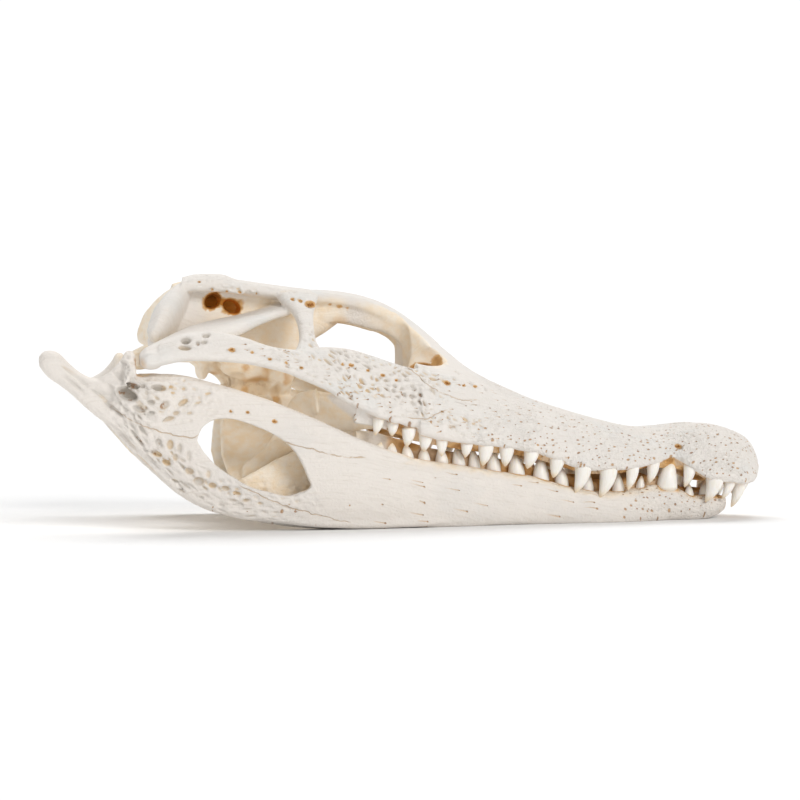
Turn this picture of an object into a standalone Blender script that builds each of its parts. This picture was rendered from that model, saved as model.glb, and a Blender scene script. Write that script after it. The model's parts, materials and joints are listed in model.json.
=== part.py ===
"""Skull of a spectacled caiman: a cranium that rests on its lower jaw, both with their teeth.

The snout points along +X, the animal's left is +Y, and +Z is up. The origin lies under the middle of
the skull, on the surface that it stands on. Every bone is a closed skin of smooth rings through a few
measured rows in millimetres. The bones of the right side are written down, and the left side is their
mirror image. Overlapping bones are fused by a voxel remesh, as bones grow together at their sutures.
"""

import math

import bmesh
import bpy
import numpy as np
from mathutils import Matrix, Vector

MM = 0.001
CENTRE_X = 4.35  # the rows below are measured from a point this far behind the middle, in mm
FLOOR_Z = 0.8  # and from a level this far below the surface that the skull stands on
RIGHT = -1
LEFT = 1

# How finely bones are skinned and fused.
ROW_STEPS = 3
RING_POINTS = 16
FUSE_VOXEL = 1.1 * MM
CRANIUM_TRIANGLES = 3300
JAW_TRIANGLES = 2000

BONE_COLOUR = (0.86, 0.82, 0.76, 1)
BONE_ROUGHNESS = 0.6

# Side profile of the snout: (x, z) along its top, its shoulder and its tooth margin.
SNOUT_TOP = [
    (146.6, 24), (145.4, 27.5), (142, 31.5), (137, 34.8), (129, 37.4), (121, 38.8), (114, 38.3), (106, 37.4),
    (97, 37.0), (88, 38.1), (78, 40.5), (66, 43.8), (52, 48.3), (40, 53.3), (28, 59.4), (18, 67.2),
    (9, 75.2), (1, 81.0),
]
SNOUT_SHOULDER = [
    (146, 23), (142, 28), (136, 31.2), (128, 33.6), (118, 34.8), (106, 33.2), (94, 33.2), (80, 35.2),
    (64, 38.8), (48, 43.8), (34, 49.2), (22, 54.8), (14, 58.3), (6, 59.6), (1, 60.6),
]
SNOUT_MARGIN = [
    (146.6, 20.5), (144, 16.8), (139, 14.7), (130, 15.2), (121, 16.6), (114, 20.3), (106.5, 25.0),
    (99, 23.2), (90, 21.6), (80, 20.8), (70, 20.9), (61, 23.2), (50, 27.2), (36, 30.0), (22, 31.6),
    (8, 33.6), (1, 35.6),
]
# Plan of the snout: (x, half width), and the half width of its flat top.
SNOUT_HALF_WIDTH = [
    (146.6, 3.0), (145, 8.0), (141, 14.0), (136, 18.8), (129, 22.6), (121, 24.4), (113, 23.8),
    (106.5, 22.4), (100, 23.6), (90, 28.6), (80, 31.8), (68, 33.6), (52, 36.0), (36, 39.8), (20, 44.4),
    (8, 48.4), (1, 50.4),
]
SNOUT_CREST_HALF_WIDTH = [(146, 1.5), (138, 8), (120, 12), (100, 12), (70, 16), (40, 17), (20, 14.5), (8, 11.5), (1, 10)]
SNOUT_STATIONS = [146.6, 145, 142.4, 139, 134.5, 129, 122, 114.5, 107, 100, 92, 82, 70, 58, 46, 35, 25, 16, 8, 1]

NARIS = {"x": 120.5, "half_length": 8.5, "half_width": 7.5, "floor_z": 29.0}
ORBIT = {"centre": (-13.5, 24.6, 75.0), "radii": (24.5, 14.2, 24.0)}
PALATE_WINDOW = {"centre": (2.0, 23.5, 38.0), "radii": (33.0, 13.0, 18.0)}
TABLE_HOLE = {"x": -58.0, "y": 13.0, "half_length": 5.6, "half_width": 4.2}

# Plates are rows of (edge A x, y, z, edge B x, y, z, thickness), right side of the animal.
JUGAL = [
    (27, -34.0, 53.0, 26, -37.0, 40.0, 3.0),
    (17, -38.6, 57.0, 15, -40.6, 36.6, 6.0),
    (7, -40.8, 58.6, 4, -45.0, 37.6, 7.5),
    (-5, -42.0, 61.0, -8, -49.0, 40.2, 7.5),
    (-15, -43.0, 64.2, -17, -51.2, 43.2, 7.5),
    (-24, -44.0, 66.8, -26, -53.4, 47.4, 7.0),
    (-32, -45.5, 67.6, -33, -55.2, 51.8, 6.5),
    (-39, -47.5, 67.2, -41, -56.4, 55.4, 6.0),
    (-47, -51.0, 66.4, -49, -57.6, 58.8, 5.5),
    (-56, -53.4, 67.8, -58, -58.6, 61.0, 5.5),
    (-65, -54.6, 71.0, -66, -59.4, 62.2, 5.5),
    (-76, -54.6, 73.0, -77, -60.2, 62.9, 5.5),
    (-87, -54.8, 72.0, -87, -60.6, 62.9, 6.0),
    (-95, -56.0, 68.4, -95, -60.4, 61.4, 6.0),
]
POSTORBITAL_BAR = [
    (-34.5, -46.0, 64.5, -46.5, -49.0, 64.5, 6.0),
    (-36.8, -43.4, 69.5, -43.4, -44.4, 69.5, 5.0),
    (-37.2, -39.6, 75.0, -43.0, -40.0, 75.0, 5.0),
    (-36.6, -34.8, 80.5, -44.6, -34.8, 80.5, 5.5),
    (-34.0, -28.0, 87.0, -50.0, -29.5, 87.0, 6.5),
]
QUADRATE = [
    (-44.0, -31.0, 81.2, -48.0, -17.0, 86.0, 4.0),
    (-51.0, -35.5, 79.4, -56.0, -19.0, 81.5, 4.0),
    (-58.0, -41.0, 76.8, -65.0, -22.0, 78.6, 4.5),
    (-65.5, -48.0, 73.2, -74.0, -26.0, 76.6, 5.5),
    (-75.0, -54.0, 69.4, -82.0, -32.0, 74.2, 6.5),
    (-86.0, -58.0, 66.4, -89.0, -38.0, 70.6, 7.0),
    (-94.0, -60.2, 64.4, -94.5, -43.0, 67.0, 7.5),
    (-99.0, -60.6, 63.2, -98.6, -46.0, 64.2, 7.5),
]
QUADRATE_CONDYLE = [
    (-97.4, -44.4, 66.4, -97.4, -44.4, 61.4, 4.5),
    (-97.6, -48.0, 67.2, -97.6, -48.0, 59.6, 8.5),
    (-97.9, -53.0, 66.8, -97.9, -53.0, 60.4, 7.5),
    (-97.9, -58.0, 66.2, -97.9, -58.0, 59.7, 8.0),
    (-97.4, -61.6, 65.4, -97.4, -61.6, 61.4, 4.5),
]
OCCIPUT = [
    (-79.5, 1.0, 91.6, -84.5, 1.0, 79.5, 5.0),
    (-80.0, -12.0, 92.0, -86.5, -12.0, 71.5, 5.0),
    (-81.6, -25.0, 92.2, -89.5, -25.0, 69.5, 5.5),
    (-85.2, -33.0, 91.6, -94.0, -35.0, 69.0, 6.0),
    (-90.0, -37.5, 87.8, -97.0, -42.0, 70.2, 6.0),
    (-94.2, -40.4, 83.6, -98.0, -44.2, 73.0, 4.5),
]
OTIC_WALL = [
    (-44.0, -18.0, 90.0, -46.0, -17.0, 80.0, 5.0),
    (-60.0, -20.5, 90.5, -62.0, -19.5, 77.0, 5.0),
    (-74.0, -22.0, 91.0, -76.0, -23.0, 75.0, 5.0),
    (-86.0, -27.0, 90.5, -88.0, -29.0, 72.0, 5.0),
]
PTERYGOID_WING = [
    (-69.0, -5.0, 53.5, -70.0, -27.0, 27.0, 3.2),
    (-66.0, -5.0, 52.0, -66.5, -31.8, 18.6, 3.8),
    (-59.0, -5.0, 48.5, -60.0, -33.4, 20.6, 4.2),
    (-51.0, -5.0, 45.5, -52.0, -34.0, 27.6, 4.2),
    (-44.0, -5.0, 44.0, -44.5, -33.0, 35.6, 4.0),
    (-38.0, -5.0, 43.0, -38.5, -27.0, 41.0, 3.6),
]
ECTOPTERYGOID = [
    (-10.0, -44.5, 39.0, -27.0, -50.0, 50.0, 5.0),
    (-19.0, -41.5, 37.6, -34.0, -45.0, 51.0, 4.4),
    (-30.0, -38.5, 35.6, -38.6, -41.0, 52.0, 4.0),
    (-43.0, -36.0, 30.0, -45.4, -37.3, 48.6, 4.0),
    (-54.0, -34.6, 23.6, -54.0, -35.4, 32.0, 4.0),
    (-63.0, -33.2, 19.2, -63.0, -33.4, 24.2, 3.6),
]
PREFRONTAL_CREST = [
    (8.0, -8.0, 71.5, 5.6, -7.0, 62.0, 3.6),
    (-1.0, -7.6, 79.0, -2.0, -6.4, 71.4, 3.4),
    (-12.0, -7.0, 84.0, -12.0, -5.8, 75.6, 3.2),
    (-23.0, -7.0, 86.0, -23.0, -5.8, 77.8, 3.2),
    (-34.0, -9.0, 87.0, -34.0, -7.0, 77.0, 4.0),
]
SQUAMOSAL_HORN = [
    (-62.0, -31.5, 88.6, -62.0, -26.0, 90.6, 4.0),
    (-70.0, -33.0, 90.5, -70.0, -27.0, 93.0, 6.0),
    (-79.0, -34.2, 90.6, -79.0, -28.0, 93.2, 6.0),
    (-86.0, -35.4, 89.4, -85.0, -30.0, 92.6, 5.0),
]

# Middle plates are rows of (x, half width, z of the middle, thickness), the same on both sides.
ROOF = [
    (14, 12.0, 67.2, 7.0),
    (6, 11.0, 73.8, 7.5),
    (-3, 10.2, 79.8, 8.0),
    (-12, 9.8, 84.0, 7.5),
    (-22, 10.6, 86.4, 7.0),
    (-31, 14.0, 87.3, 6.5),
    (-37, 21.0, 87.5, 6.0),
]
TABLE = [
    (-34, 16.0, 87.6, 5.5),
    (-37, 24.5, 87.6, 6.0),
    (-43, 28.6, 87.9, 6.5),
    (-54, 30.2, 89.2, 6.5),
    (-66, 31.8, 90.8, 6.5),
    (-77, 33.6, 91.8, 6.5),
    (-82, 34.0, 91.6, 6.0),
]
PALATINE = [
    (16, 15.0, 41.0, 5.0),
    (8, 12.0, 40.0, 8.0),
    (-4, 9.6, 40.5, 9.0),
    (-20, 8.6, 42.0, 10.0),
    (-36, 9.6, 43.6, 10.0),
    (-50, 11.5, 46.5, 10.0),
    (-62, 11.5, 51.5, 8.0),
    (-68, 8.5, 54.5, 4.0),
]
# The braincase has rows of (x, z of its top, z of its bottom, width).
BRAINCASE = [
    (-23, 83.0, 77.6, 7),
    (-28, 86.0, 74.0, 14),
    (-35, 87.6, 69.0, 21),
    (-38, 88.0, 60.0, 22),
    (-42, 88.0, 50.0, 24),
    (-50, 89.0, 47.0, 28),
    (-60, 89.5, 49.5, 31),
    (-67, 90.0, 53.5, 33),
    (-71, 90.0, 57.5, 33),
    (-77, 90.0, 60.0, 32),
    (-83, 89.0, 64.5, 26),
    (-87, 86.0, 67.0, 18),
]
OCCIPITAL_CONDYLE = {"centre": (-90.0, 0.0, 70.0), "radii": (6.5, 5.0, 4.8)}
FORAMEN_MAGNUM = {"centre": (-91.0, 0.0, 80.0), "radii": (9.0, 5.2, 4.4)}
BASAL_TUBER = {"centre": (-75.6, 5.5, 60.2), "radii": (2.3, 4.2, 4.4)}
OTIC_HOLES = [((-73.5, 23.0, 84.6), (3.4, 6.0, 3.4)), ((-66.0, 21.5, 82.6), (3.0, 5.0, 2.4))]

# Lower jaw. Side profile of the symphysis and its plan: (x, half width, z of the margin, z of the underside).
SYMPHYSIS = [
    (132.6, 4.0, 8.0, 5.4),
    (131.0, 9.0, 9.4, 3.6),
    (127.5, 13.6, 10.2, 1.8),
    (122.0, 17.0, 10.6, 0.4),
    (115.0, 18.8, 10.4, -0.4),
    (109.0, 20.0, 13.2, -0.4),
    (102.0, 21.8, 14.6, -0.4),
    (95.0, 23.6, 14.6, -0.2),
]
DENTARY = [
    (108, -13.0, 13.0, 107, -12.0, 1.0, 12.0),
    (98, -16.6, 14.6, 98, -15.6, 0.0, 12.5),
    (87, -20.4, 13.2, 87, -19.6, -0.4, 12.0),
    (76, -23.2, 12.8, 76, -22.4, -0.4, 11.5),
    (62, -26.2, 15.2, 62, -25.2, 0.2, 11.0),
    (48, -29.0, 19.0, 48, -28.0, 0.6, 11.5),
    (32, -32.6, 21.6, 32, -31.6, 0.6, 12.0),
    (16, -36.6, 24.2, 16, -35.8, 0.4, 12.5),
    (2, -40.2, 26.4, 2, -38.8, 0.6, 12.5),
    (-8, -42.6, 27.4, -8, -41.6, 1.6, 11.0),
    (-16, -43.8, 27.6, -16, -43.0, 5.0, 7.0),
]
OUTER_WALL = [
    (16, -37.4, 22.0, 16, -37.0, 4.0, 4.0, 1.6),
    (5, -41.6, 25.6, 5, -39.6, 2.4, 4.4, 2.6),
    (-8, -45.4, 28.2, -8, -42.8, 1.8, 4.4, 3.4),
    (-18, -48.0, 31.6, -18, -45.0, 1.6, 4.4, 3.8),
    (-30, -50.2, 37.6, -30, -47.0, 1.8, 4.4, 4.0),
    (-42, -51.4, 42.4, -42, -48.4, 2.6, 4.4, 4.0),
    (-54, -52.2, 47.2, -54, -49.4, 4.0, 4.4, 3.9),
    (-66, -52.6, 51.4, -66, -50.2, 5.4, 4.6, 3.6),
    (-78, -52.6, 54.8, -77, -50.4, 9.2, 5.0, 3.4),
    (-90, -52.2, 57.2, -88, -50.2, 16.4, 6.0, 3.0),
    (-102, -51.4, 57.4, -100, -50.0, 27.6, 7.5, 2.0),
    (-112, -50.2, 55.6, -109, -49.6, 37.2, 8.5, 1.0),
]
INNER_WALL = [
    (6, -34.6, 25.0, 6, -35.0, 1.0, 4.0, 0.0),
    (-14, -38.4, 28.0, -14, -39.0, 0.8, 3.6, 0.0),
    (-32, -41.0, 32.6, -32, -41.4, 0.6, 3.4, 0.0),
    (-49, -42.4, 27.8, -49, -42.8, 2.0, 3.4, 0.0),
    (-60, -42.8, 22.0, -60, -43.4, 4.4, 3.6, 0.0),
    (-70, -43.0, 18.0, -70, -43.6, 7.0, 4.0, 0.0),
    (-82, -43.6, 20.0, -80, -44.4, 11.0, 4.6, 0.0),
    (-92, -44.6, 34.0, -90, -45.6, 18.0, 5.4, 0.0),
]
JAW_KEEL = [
    (16, -41.0, 4.2, 16, -32.0, 4.2, 4.0),
    (6, -43.8, 3.7, 6, -33.4, 3.7, 5.2),
    (-8, -46.4, 3.6, -8, -36.0, 3.6, 5.6),
    (-22, -49.0, 3.8, -22, -38.4, 3.8, 5.8),
    (-40, -51.2, 5.0, -40, -40.6, 5.0, 5.8),
    (-58, -52.6, 7.6, -58, -42.0, 7.6, 6.0),
    (-74, -53.6, 11.0, -74, -43.0, 11.0, 6.6),
    (-86, -53.0, 18.0, -86, -44.0, 18.0, 8.0),
    (-98, -52.0, 29.6, -98, -45.6, 29.6, 9.0),
    (-105.0, -51.2, 36.6, -105.0, -46.6, 36.6, 8.0),
    (-110.5, -50.6, 41.4, -110.5, -47.4, 41.4, 6.0),
]
SURANGULAR = [
    (8, -41.0, 21.6, 8, -37.4, 21.6, 3.0),
    (-3, -45.8, 25.2, -3, -41.6, 25.2, 4.6),
    (-20, -52.0, 30.6, -20, -46.0, 30.6, 5.6),
    (-36, -53.8, 37.4, -36, -47.6, 37.4, 6.2),
    (-54, -55.0, 44.6, -54, -48.4, 44.6, 6.8),
    (-72, -55.6, 50.2, -72, -48.6, 50.2, 7.2),
    (-88, -55.6, 54.0, -88, -47.6, 54.0, 7.6),
    (-98, -54.8, 54.6, -98, -46.0, 54.6, 7.0),
]
ARTICULAR = [
    (-88.0, -51.0, 57.2, -89.0, -51.0, 40.0, 11.0),
    (-94.0, -51.4, 57.8, -95.0, -51.4, 36.0, 16.0),
    (-100.0, -51.4, 57.4, -101.0, -51.4, 38.0, 17.0),
    (-106.0, -51.0, 58.6, -106.0, -51.0, 40.0, 14.0),
    (-112.0, -50.4, 57.0, -111.0, -50.4, 42.0, 10.0),
]
GLENOID_RIDGE = [
    (-105.0, -43.8, 60.0, -105.6, -43.8, 52.0, 4.0),
    (-105.0, -46.6, 65.4, -106.4, -46.6, 52.0, 5.0),
    (-105.2, -51.0, 66.4, -107.0, -51.0, 52.0, 5.6),
    (-105.0, -56.0, 62.8, -106.6, -56.0, 52.0, 5.0),
    (-104.6, -58.6, 59.4, -105.6, -58.6, 52.0, 4.0),
]
GLENOID_SLOPE = [
    (-104.2, -51.0, 61.5, -104.4, -51.0, 50.0, 5.0),
    (-106.0, -51.0, 66.0, -106.5, -51.0, 50.0, 6.0),
    (-109.2, -50.8, 62.2, -109.5, -50.8, 50.0, 7.0),
    (-112.4, -50.4, 58.8, -112.8, -50.4, 50.0, 7.5),
    (-117.0, -49.6, 56.2, -117.0, -49.6, 48.0, 7.0),
]
RETROARTICULAR = [
    (-106.0, -50.6, 60.0, -104.0, -50.6, 36.0, 9.0),
    (-111.0, -50.2, 58.6, -108.5, -50.2, 36.4, 9.0),
    (-116.5, -49.4, 56.6, -114.5, -49.4, 40.8, 9.0),
    (-121.5, -48.6, 57.8, -119.5, -48.6, 45.0, 9.5),
    (-126.5, -47.6, 61.4, -124.5, -47.6, 49.8, 10.0),
    (-131.0, -46.8, 65.8, -129.5, -46.8, 53.6, 10.0),
    (-135.0, -46.4, 66.4, -134.2, -46.4, 57.0, 9.0),
    (-137.3, -46.0, 64.4, -137.1, -46.0, 60.8, 5.0),
]
# Outline of the opening in the outer wall of the lower jaw, (x, z).
JAW_FENESTRA = [
    (-81.6, 34.0), (-80.0, 38.2), (-76.2, 41.2), (-71.0, 42.0), (-65.0, 40.9), (-57.5, 38.0), (-50.5, 34.2),
    (-46.5, 30.6), (-43.6, 25.8), (-41.4, 20.8), (-40.2, 17.0), (-44.0, 15.0), (-49.0, 13.8), (-55.0, 15.2),
    (-62.0, 17.2), (-68.0, 20.6), (-74.0, 24.6), (-78.6, 29.4),
]
# Deep pits of the rear of the lower jaw, (x, z, half length, half height, slope in degrees).
JAW_PITS = [
    (-103.4, 50.8, 3.4, 1.7, -38), (-99.6, 52.6, 2.5, 1.6, -12), (-91.6, 51.6, 3.1, 1.6, -10),
    (-96.0, 50.4, 1.3, 1.3, 0), (-95.0, 45.6, 1.6, 1.2, 10), (-99.2, 43.2, 2.2, 1.2, -14),
    (-95.0, 41.6, 1.3, 0.9, 0), (-84.4, 46.4, 2.4, 1.5, 28), (-89.8, 45.0, 2.0, 1.2, 30),
    (-93.0, 33.4, 1.7, 1.3, -20), (-93.4, 29.6, 1.9, 1.5, -10), (-90.4, 26.6, 1.5, 1.2, -30),
    (-84.4, 23.4, 1.9, 1.6, 0), (-81.4, 20.0, 2.6, 2.0, -20), (-99.6, 34.0, 3.6, 1.0, -46),
]

# Teeth: (x, y of the socket on the right side, z of the socket, tip x, tip z, length along the jaw).
UPPER_TEETH = [
    (-14.4, -49.0, 41.8, -15.5, 35.4, 3.9), (-8.7, -47.6, 39.8, -8.9, 35.0, 3.9),
    (-2.6, -46.4, 37.6, -3.2, 31.0, 4.7), (4.0, -45.0, 35.6, 3.5, 29.0, 4.7),
    (10.5, -43.4, 34.2, 10.5, 27.2, 4.1), (20.4, -40.9, 32.4, 20.0, 26.6, 4.2),
    (28.0, -38.9, 31.4, 27.1, 23.4, 5.3), (36.5, -36.9, 30.6, 36.1, 23.0, 5.2),
    (46.4, -34.8, 28.8, 45.2, 22.0, 5.3), (56.8, -33.2, 25.8, 55.7, 18.4, 5.2),
    (67.0, -31.9, 22.6, 64.6, 12.4, 5.8), (77.4, -30.0, 21.8, 74.8, 10.4, 6.2),
    (88.0, -27.2, 22.6, 86.6, 13.0, 4.6), (97.5, -22.9, 23.8, 96.3, 15.4, 4.6),
    (112.6, -21.6, 22.4, 111.0, 13.6, 4.6), (122.5, -21.6, 17.8, 119.6, 7.8, 6.4),
    (129.5, -18.8, 16.6, 127.0, 8.6, 4.2), (134.8, -14.2, 16.2, 132.3, 5.2, 5.0), (139.6, -6.6, 16.2, 138.2, 9.6, 3.8),
]
LOWER_TEETH = [
    (-13.1, -42.6, 28.0, -12.3, 32.8, 3.8), (-8.4, -41.8, 27.2, -8.0, 32.4, 4.2),
    (-2.2, -40.2, 26.2, -2.6, 31.8, 4.4), (4.4, -38.6, 25.2, 4.4, 30.6, 4.4),
    (11.4, -36.8, 24.4, 11.0, 30.6, 4.5), (18.1, -35.2, 23.2, 17.4, 30.4, 4.6),
    (24.5, -33.7, 22.0, 24.1, 29.8, 4.2), (32.4, -31.8, 20.8, 32.4, 29.2, 5.0),
    (41.5, -29.9, 19.4, 40.8, 28.0, 5.8), (51.6, -28.0, 17.2, 51.7, 26.4, 5.8),
    (60.0, -26.4, 14.8, 59.4, 23.4, 5.0), (71.0, -24.2, 12.4, 71.2, 20.4, 4.4),
    (83.7, -21.8, 12.2, 83.5, 20.2, 4.4), (93.3, -19.6, 13.2, 94.0, 18.4, 3.2),
    (104.6, -18.9, 13.4, 106.4, 25.2, 7.2), (114.1, -15.6, 9.6, 114.3, 14.8, 3.6),
    (120.6, -13.8, 9.8, 121.6, 15.8, 3.6), (126.6, -9.4, 9.6, 128.4, 15.6, 3.8),
]
TOOTH_SIDES = 6
PIT_DEPTH = 2.0
TOOTH_ROOT = 3.2  # how far a tooth goes into its jaw


def through(rows, steps):
    """Catmull-Rom spline through the rows, with this many steps between two of them."""
    rows = np.asarray(rows, float)
    before = 2 * rows[0] - rows[1]
    after = 2 * rows[-1] - rows[-2]
    padded = np.vstack([before, rows, after])
    t = (np.arange(steps) / steps)[None, :, None]
    p0, p1, p2, p3 = (padded[i : i + len(rows) - 1, None, :] for i in range(4))
    spans = 0.5 * (
        2 * p1 + (p2 - p0) * t + (2 * p0 - 5 * p1 + 4 * p2 - p3) * t**2 + (3 * p1 - p0 - 3 * p2 + p3) * t**3
    )
    return np.vstack([spans.reshape(-1, rows.shape[1]), rows[-1:]])


def profile(points, x):
    """Height of a smooth outline, given as (x, value) points, at each x."""
    dense = through(points, 8)
    order = np.argsort(dense[:, 0])
    return np.interp(x, dense[order, 0], dense[order, 1])


def skin(rings):
    """Vertices and faces of a closed skin over a stack of rings, an array of rings x points x 3."""
    count, around, _ = rings.shape
    ring, spot = np.meshgrid(np.arange(count - 1), np.arange(around), indexing="ij")
    turn = (spot + 1) % around
    corners = (ring * around + spot, ring * around + turn, (ring + 1) * around + turn, (ring + 1) * around + spot)
    faces = np.stack(corners, axis=-1).reshape(-1, 4).tolist()
    faces.append(list(range(around))[::-1])
    faces.append(list(range((count - 1) * around, count * around)))
    return rings.reshape(-1, 3), faces


def plate_rings(rows, fullness=0.75):
    """Rings of a bone between two edges. A row has a point on each edge, a thickness and maybe a bulge."""
    rows = through(rows, ROW_STEPS)
    edge_a, edge_b, thickness = rows[:, 0:3], rows[:, 3:6], rows[:, 6]
    bulge = rows[:, 7] if rows.shape[1] > 7 else np.zeros(len(rows))
    middle = (edge_a + edge_b) / 2
    half = (edge_a - edge_b) / 2
    along = np.gradient(middle, axis=0)
    face = np.cross(along, half)
    face /= np.linalg.norm(face, axis=1, keepdims=True)
    face *= np.where(face[:, 1:2] * middle[:, 1:2] < 0, -1, 1)
    angle = np.linspace(0, 2 * math.pi, RING_POINTS, endpoint=False)
    across = np.sign(np.cos(angle)) * np.abs(np.cos(angle)) ** fullness
    out = np.sign(np.sin(angle)) * np.abs(np.sin(angle)) ** fullness
    height = out * thickness[:, None] / 2 + bulge[:, None] * (1 - across**2)
    return middle[:, None] + half[:, None] * across[None, :, None] + face[:, None] * height[:, :, None]


def middle_plate_rows(rows):
    """Rows of (x, half width, z, thickness) as a plate from the right side to the left."""
    return [(x, -half, z, x, half, z, thickness) for x, half, z, thickness in rows]


def column_rows(rows):
    """Rows of (x, top, bottom, width) as an upright plate in the middle."""
    return [(x, 0, top, x, 0, bottom, width) for x, top, bottom, width in rows]


def snout_rings():
    """Sections of the snout: flat crest, sloping shoulder, widest line, tooth margin and hollow palate."""
    x = np.array(SNOUT_STATIONS, float)
    top, shoulder, margin = (profile(p, x) for p in (SNOUT_TOP, SNOUT_SHOULDER, SNOUT_MARGIN))
    wide, crest = profile(SNOUT_HALF_WIDTH, x), profile(SNOUT_CREST_HALF_WIDTH, x)
    lift = top - margin
    half = [
        (0 * wide, top),
        (0.6 * crest, top),
        (1.15 * crest, top - 0.05 * lift),
        (0.82 * wide, shoulder),
        (0.95 * wide, 0.45 * shoulder + 0.55 * (margin + 0.3 * lift)),
        (wide, margin + 0.24 * lift),
        (0.985 * wide, margin + 0.06 * lift),
        (0.92 * wide, margin),
        (0.82 * wide, margin + 0.06 * lift),
        (0.60 * wide, margin + 0.13 * lift),
        (0 * wide, margin + 0.17 * lift),
    ]
    half = np.stack([np.stack([x, -y, z], axis=-1) for y, z in half], axis=1)
    other = half[:, -2:0:-1] * (1, -1, 1)
    return np.concatenate([half, other], axis=1)


def symphysis_rings():
    """Sections of the front of the lower jaw: raised tooth margins round a shallow trough."""
    x, wide, margin, under = through(SYMPHYSIS, 2).T
    height = margin - under
    half = [
        (0 * wide, margin - 0.32 * height),
        (0.5 * wide, margin - 0.26 * height),
        (0.74 * wide, margin - 0.04 * height),
        (0.87 * wide, margin),
        (0.98 * wide, margin - 0.18 * height),
        (1.0 * wide, margin - 0.45 * height),
        (0.9 * wide, under + 0.22 * height),
        (0.66 * wide, under + 0.03 * height),
        (0 * wide, under),
    ]
    half = np.stack([np.stack([x, -y, z], axis=-1) for y, z in half], axis=1)
    other = half[:, -2:0:-1] * (1, -1, 1)
    return np.concatenate([half, other], axis=1)


def new_object(name, parts, material=None):
    """One object from (points in mm, faces) shells, each turned so that its faces point out."""
    bm = bmesh.new()
    for points, faces in parts:
        points = (np.asarray(points) - (CENTRE_X, 0, FLOOR_Z)) * MM
        made = [bm.verts.new(p) for p in points]
        shell = [bm.faces.new([made[i] for i in face]) for face in faces]
        bmesh.ops.recalc_face_normals(bm, faces=shell)
    mesh = bpy.data.meshes.new(name)
    bm.to_mesh(mesh)
    bm.free()
    if material:
        mesh.materials.append(material)
    obj = bpy.data.objects.new(name, mesh)
    bpy.context.scene.collection.objects.link(obj)
    return obj


def mirrored(rings, side):
    return rings if side == RIGHT else rings * (1, -1, 1)


def ellipsoid(centre, radii, side=LEFT, slope=0, detail=3):
    """A round shell in mm, sloping up toward the snout, mirrored to a side by the sign of y."""
    bm = bmesh.new()
    bmesh.ops.create_icosphere(bm, subdivisions=detail, radius=1)
    points = np.array([v.co for v in bm.verts]) * radii @ np.array(Matrix.Rotation(math.radians(slope), 3, "Y"))
    points = points + np.array(centre) * (1, side, 1)
    faces = [[v.index for v in face.verts] for face in bm.faces]
    bm.free()
    return points, faces


def prism(outline, near, far):
    """A straight cutter with this (x, z) outline, from y near to y far."""
    x, z = through([*outline, outline[0]], 2)[:-1].T
    rings = np.stack([np.stack([x, np.full_like(x, y), z], axis=-1) for y in (near, far)])
    return skin(rings)


def tooth(row, side):
    """A bent cone from its root inside the jaw to a rounded tip, on a slightly flattened oval."""
    x, y, z, tip_x, tip_z, length = row
    down = 1 if tip_z > z else -1
    root = np.array((x, y, z - down * TOOTH_ROOT))
    tip = np.array((tip_x, y + 0.6, tip_z))
    bend = np.array((0.6 * (x - tip_x), -0.5, 0))
    t = np.array((0, 0.4, 0.78, 1))[:, None]
    centre = root + (tip - root) * t + bend * 4 * t * (1 - t)
    radius = length / 2 * np.array((0.96, 1, 0.56, 0.14))[:, None]
    angle = np.linspace(0, 2 * math.pi, TOOTH_SIDES, endpoint=False)
    oval = np.stack([np.cos(angle), 0.86 * np.sin(angle), 0 * angle], axis=-1)
    return skin(mirrored(centre[:, None] + oval[None] * radius[:, :, None], side))


def pit(jaw, row, side):
    """A hollow of the ornamented rear of the jaw, dug where a line from the side meets its outer face."""
    x, z, half_length, half_height, slope = row
    start = Vector((x - CENTRE_X, side * 90, z - FLOOR_Z)) * MM
    found, place, _, _ = jaw.ray_cast(start, Vector((0, -side, 0)))
    y = abs(place.y) / MM if found else 55.0
    return ellipsoid((x, y, z), (half_length, PIT_DEPTH, half_height), side, slope, detail=1)


def floor_block():
    """Everything below the surface that the skull stands on."""
    outline = [(-180, FLOOR_Z), (180, FLOOR_Z), (180, -20), (-180, -20)]
    rings = np.array([[(x, y, z) for x, z in outline] for y in (-90, 90)], float)
    return skin(rings)


def boolean(obj, operation, parts):
    """Cuts the shells away from the object, or joins them to it, and keeps the result."""
    for number, part in enumerate(parts):
        tool = new_object(f"{obj.name}_tool_{number}", [part])
        modifier = obj.modifiers.new(f"shape_{number}", "BOOLEAN")
        modifier.operation = operation
        modifier.solver = "EXACT"
        modifier.object = tool
    keep_modifiers(obj)
    for other in [o for o in bpy.data.objects if o.name.startswith(f"{obj.name}_tool_")]:
        bpy.data.objects.remove(other)


def keep_modifiers(obj):
    """Makes what the modifiers show the object's own mesh."""
    graph = bpy.context.evaluated_depsgraph_get()
    made = bpy.data.meshes.new_from_object(obj.evaluated_get(graph))
    obj.modifiers.clear()
    obj.data = made


def fuse(obj, triangles):
    """Grows overlapping bones together, rounds the joins and keeps the few triangles that the form needs."""
    remesh = obj.modifiers.new("fuse", "REMESH")
    remesh.mode = "VOXEL"
    remesh.voxel_size = FUSE_VOXEL
    smooth = obj.modifiers.new("round", "SMOOTH")
    smooth.factor = 0.5
    smooth.iterations = 5
    keep_modifiers(obj)
    keep_largest(obj)
    now = sum(len(p.vertices) - 2 for p in obj.data.polygons)
    fewer = obj.modifiers.new("facets", "DECIMATE")
    fewer.ratio = triangles / now
    fewer.use_collapse_triangulate = True
    keep_modifiers(obj)


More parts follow.
